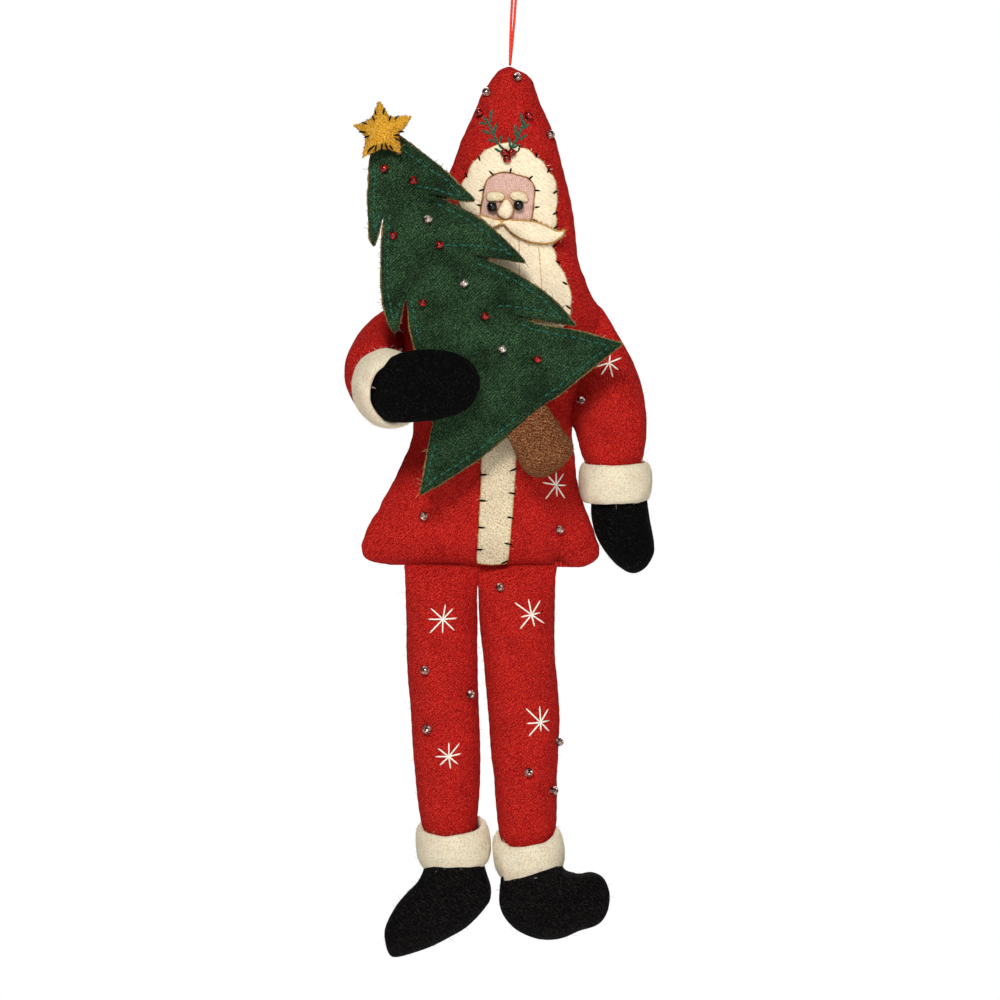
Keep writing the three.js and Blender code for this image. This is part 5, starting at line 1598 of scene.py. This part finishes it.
def star():
    """The star on the tip of the tree, with its stitches and frayed edge. The edge's fibres are mostly brown:
    partly the raw cut edge, partly painted shade along the rim.
    """
    line = smoothed(evenly(places(STAR), 0.45, curved=False), 0.3)
    line = line + 0.2 * unevenness(line, 1.1, 51)[:, None]
    middle = on_tree.fronts(places([STAR_SEAT]))[0] - STAR_LIFT
    centre = at(*STAR_CENTRE)

    def curl(away):
        """How far the points of the star bend forwards, by how far they are from its centre."""
        flat = 4.4
        return 0.2 * np.maximum(away - flat, 0) ** 1.7

    def curled(points):
        points[:, 1] -= curl(np.linalg.norm(points[:, [0, 2]] - centre, axis=1))
        return points

    made = pouch(
        "star_stuffed", line, 4.6, "figure", yellow_felt, spacing=0.5, middle=middle, shape_power=0.72,
        groove=0.45, lumps=0.6, pucker=0.4, pitch=1.9, seed=53, shaping=curled,
    )
    stand_for(made, ["star_front", "star_back", "star_stuffing"])
    # Mostly brown fibres round the rim: partly the raw cut edge, partly painted shade at the edge of the
    # star.
    frayed_edge(
        "star_edge_fibres", line, lambda place: middle - curl(np.linalg.norm(place - centre)), 0.3,
        760, 0.27, [fibre_brown, fibre_yellow], radius=0.085, share=0.3, seed=12,
    )
    stitches = STAR_INNER + STAR_STITCHES
    middles = [STAR_STITCH_END] * len(stitches)
    black_stitches("star_stitches", "figure", Surface(made), stitches, middles, length=1.35, radius=0.25)
    return made


star_piece = star()


def settle_on_tree(grid):
    """Presses a piece's back against the front of the tree."""
    gap = 0.12
    flat = grid.reshape(-1, 3)
    for index, (x, y, z) in enumerate(flat):
        if y < TREE_PLANE - 0.5:
            place, _ = on_tree.struck(x, z)
            if place is not None and y > place.y - gap:
                flat[index, 1] = place.y - gap
    return flat.reshape(grid.shape)


holding_mitten = stuffed(
    "holding_mitten", turned_sections(HOLDING_MITTEN_SHARES), "figure", mitten_felt, ["holding_mitten_felt"],
    "black_wool_felt", columns=84, seed=28, spacing=0.8, roundness=0.6, shaping=settle_on_tree, lumps=0.3,
)
wrist_centre, before_centre = (np.array(turned_sections(HOLDING_ARM_SHARES)[index][0]) for index in (-1, -2))
holding_cuff = cuff(
    "holding_arm_cuff_felt", "holding_arm_cuff", "figure", wrist_centre, wrist_centre - before_centre,
    (-0.4, 0, 1), 7.7, 6.6, 9.8, 2.1, flare=0.7, seed=13,
)

for sewn_beads, surface, clear in (
    (HOOD_AND_COAT_BEADS, on_face, (rosy_glass, rosy_lining)),
    (TREE_BEADS, on_tree, (silver_glass, silver_lining)),
):
    for name, (pixel, turn, tip) in sewn_beads.items():
        red = any(word in name for word in ("red", "sprig", "berry"))
        glass, lining = (red_glass, red_lining) if red else clear
        sewn = bead(f"{name}_glass", surface, pixel, turn, tip, "figure", glass, lining)
        stand_for(sewn, [name])

# Embroidery
SPRIGS = [
    [(504, 150), (500, 147), (497, 143), (489, 125.5), (483, 117)], [(492, 110), (491, 117), (490, 123.5)],
    [(496.6, 124), (495, 130), (493.6, 134.7)], [(479, 123.5), (482.5, 124), (486, 125)],
    [(482, 131), (486, 133), (490.5, 134.7)], [(488, 140), (491, 141.5), (494.6, 143)],
    [(501.7, 135.7), (501, 139), (500, 143)], [(494.6, 149.6), (497.4, 151), (500.4, 152.8)],
    [(511.4, 149.5), (513.6, 145), (516, 141), (521, 130), (525.7, 120.4)],
    [(520.6, 114), (521.6, 119), (522, 125)], [(529, 124.5), (526, 127), (523, 130)],
    [(515.5, 125), (515.6, 131), (516, 138)], [(526.7, 135.7), (523, 138), (519, 141)],
    [(508.4, 138), (509.4, 143), (510.4, 149)], [(520, 145), (516.6, 147), (513, 149)],
    [(517.6, 152.4), (515, 153.4), (513.4, 154)],
]
BEARD_LINES = [[(519, 240), (519.4, 262), (519, 288)], [(538.4, 246), (540, 266), (542, 292)]]
# Snowflakes: the middle, and the ends of the arms
SNOWFLAKES = {
    "left_leg": [
        (
            (443, 619),
            [
                (428.6, 619), (457, 618), (445.5, 604.4), (442.7, 633), (431, 608), (454.4, 630),
                (453, 608.5), (430, 632.7),
            ],
        ),
        (
            (449, 756),
            [
                (435.4, 756), (461, 753), (449, 742), (450.6, 768), (438, 747.6), (458, 763.6),
                (459.4, 743), (440, 764.6),
            ],
        ),
    ],
    "right_leg": [
        (
            (531.5, 614.5),
            [
                (515, 602.5), (544, 623), (528.4, 599), (534.4, 626), (540, 600.6), (520, 628.6),
                (540, 612.5), (521, 616.7),
            ],
        ),
        (
            (540.5, 722),
            [
                (526, 708), (549, 730.6), (539.5, 706), (540.7, 731), (548, 708.6), (528.7, 735.6),
                (549, 720), (526.5, 723),
            ],
        ),
    ],
    "figure": [
        (
            (556, 485),
            [
                (542.6, 482.5), (565.8, 485.4), (563.5, 473.6), (556, 472), (548, 476), (545.4, 499),
                (557, 496.5), (564.5, 498),
            ],
        ),
    ],
    "hanging_arm": [
        ((609, 363), [(621, 358), (596.4, 367), (610, 355.6), (601, 375), (612.5, 377.4), (618, 370)]),
    ],
}


def embroidered(name, body, surface, runs, radius, material, lift=0.1):
    """Threads over a surface, with both ends let into it."""
    paths = []
    for run in runs:
        line = evenly(places(run), 0.7, closed=False, curved=len(run) > 2)
        path = surface.lifted(line, lift)
        path[[0, -1], 1] += 0.25
        paths.append(path)
    return tubes(name, paths, radius, body, [material])


embroidered("sprig_embroidery", "figure", on_face, SPRIGS, 0.36, green_thread)
surfaces = {"left_leg": on_left_leg, "right_leg": on_right_leg, "figure": on_coat, "hanging_arm": on_arm}
for body, surface in surfaces.items():
    runs = [[middle, end] for middle, ends in SNOWFLAKES[body] for end in ends]
    embroidered(f"{body}_snowflakes", body, surface, runs, 0.21, white_thread, lift=0.14)
embroidered("beard_lines", "figure", on_face, BEARD_LINES, 0.13, tan_thread, lift=0.0)


def fibres(made, body, material, count, length=0.9, radius=0.028):
    """Stray fibres of the wool, rooted on a piece."""
    name = f"{made.name}_fibres"
    local = np.random.default_rng(len(made.name) + count)
    mesh = made.data
    areas = np.zeros(len(mesh.polygons))
    mesh.polygons.foreach_get("area", areas)
    paths = []
    for index in local.choice(len(areas), count, p=areas / areas.sum()):
        polygon = mesh.polygons[int(index)]
        out = np.array(polygon.normal)
        spread = np.sqrt(areas[index]) / METRES
        lean = unit(local.standard_normal(3))
        root = np.array(polygon.center) / METRES + 0.5 * spread * (lean - (lean @ out) * out) * local.random()
        reach = length * (0.35 + local.random() ** 3 * 2.4)
        way = unit(out * (0.15 + 0.5 * local.random()) + 0.8 * lean * (1 - 0.3 * abs(lean @ out)))
        bend = 0.5 * reach * local.standard_normal(3)
        shares = np.linspace(0, 1, 4)
        path = root + out * 0.03 + np.outer(shares * reach, way) + np.outer(shares**2, bend)
        below = np.minimum((path - root) @ out - 0.03, 0)
        paths.append(path - np.outer(below, out))
    return tubes(name, paths, radius, body, [material], sides=3, taper=0.5)


for piece, body, material, count, length in (
    (coat, "figure", fibre_red, 2200, 0.5), (surround, "figure", fibre_cream, 500, 0.5),
    (trim, "figure", fibre_cream, 350, 0.6), (moustache, "figure", fibre_cream, 120, 0.4),
    (tree_front, "figure", fibre_green, 1800, 0.5), (trunk, "figure", fibre_brown, 300, 0.7),
    (star_piece, "figure", fibre_yellow, 250, 0.35), (holding_mitten, "figure", fibre_black, 500, 0.5),
    (holding_arm, "figure", fibre_red, 300, 0.5), (holding_cuff, "figure", fibre_cream, 500, 0.6),
    (mitten, "hanging_arm", fibre_black, 450, 0.5), (arm, "hanging_arm", fibre_red, 600, 0.5),
    (arm_cuff, "hanging_arm", fibre_cream, 700, 0.6), (left_cuff, "left_leg", fibre_cream, 700, 0.6),
    (right_cuff, "right_leg", fibre_cream, 700, 0.6), (left_leg, "left_leg", fibre_red, 800, 0.45),
    (right_leg, "right_leg", fibre_red, 800, 0.45), (left_boot, "left_leg", fibre_black, 600, 0.5),
    (right_boot, "right_leg", fibre_black, 600, 0.5),
):
    fibres(piece, body, material, count, length)


# Studio: a pale floor under the hanging figure, soft lights, and a white surround, placed in metres.
# The surround and the floor are bright to the camera and dimmer as lights.
FLOOR_HEIGHT, FLOOR_REACH, FLOOR_GLOW, FLOOR_GLOW_SEEN = -0.9, 12, 0.26, 0.72
AMBIENT = 0.15
LIT_PLACE = (0, 0, -0.18)
# Lights: name, place, size and power in watts
LIGHTS = (
    ("key", (-0.2, -1.1, 0.6), 0.36, 14.6), ("fill", (0.8, -1.2, 0.0), 0.8, 4.4),
    ("low", (0.0, -1.25, -0.7), 0.5, 2.1), ("back", (0.2, 1.5, 0.7), 0.9, 20.0),
)


def studio():
    """The floor, the lights and the white surround."""
    shading = Shading("pale_paper")
    tooth = shading.cloud(shading.add("ShaderNodeTexCoord").outputs["Object"], 300.0, 3.0)
    shading.link(
        shading.ramp(tooth, (0.3, (0.93, 0.93, 0.93, 1)), (0.7, (0.96, 0.96, 0.96, 1))), "Base Color",
    )
    shading.set(Roughness=0.9, Emission_Color=(1, 1, 1, 1))
    seen = shading.add("ShaderNodeLightPath").outputs["Is Camera Ray"]
    shading.link(shading.spread(seen, 0.0, 1.0, FLOOR_GLOW, FLOOR_GLOW_SEEN), "Emission Strength")
    corners = ((-1, -1), (1, -1), (1, 1), (-1, 1))
    points = [(FLOOR_REACH * x, FLOOR_REACH * y, FLOOR_HEIGHT) for x, y in corners]
    mesh = bpy.data.meshes.new("floor")
    mesh.from_pydata(points, [], [(0, 1, 2, 3)])
    mesh.materials.append(shading.material)
    floor = bpy.data.objects.new("floor", mesh)
    bpy.context.scene.collection.objects.link(floor)
    for name, place, size, power in LIGHTS:
        data = bpy.data.lights.new(name, "AREA")
        data.size = size
        data.energy = power
        light = bpy.data.objects.new(name, data)
        light.location = place
        light.rotation_euler = (Vector(LIT_PLACE) - Vector(place)).to_track_quat("-Z", "Y").to_euler()
        bpy.context.scene.collection.objects.link(light)
    world = bpy.data.worlds.new("studio")
    world.use_nodes = True
    nodes = world.node_tree.nodes
    background = nodes["Background"]
    background.inputs["Color"].default_value = (1, 1, 1, 1)
    seen = nodes.new("ShaderNodeLightPath")
    strength = nodes.new("ShaderNodeMath")
    strength.operation = "MULTIPLY_ADD"
    strength.inputs[1].default_value = 1 - AMBIENT
    strength.inputs[2].default_value = AMBIENT
    world.node_tree.links.new(seen.outputs["Is Camera Ray"], strength.inputs[0])
    world.node_tree.links.new(strength.outputs[0], background.inputs["Strength"])
    bpy.context.scene.world = world
    bpy.context.scene.view_settings.view_transform = "Standard"


studio()
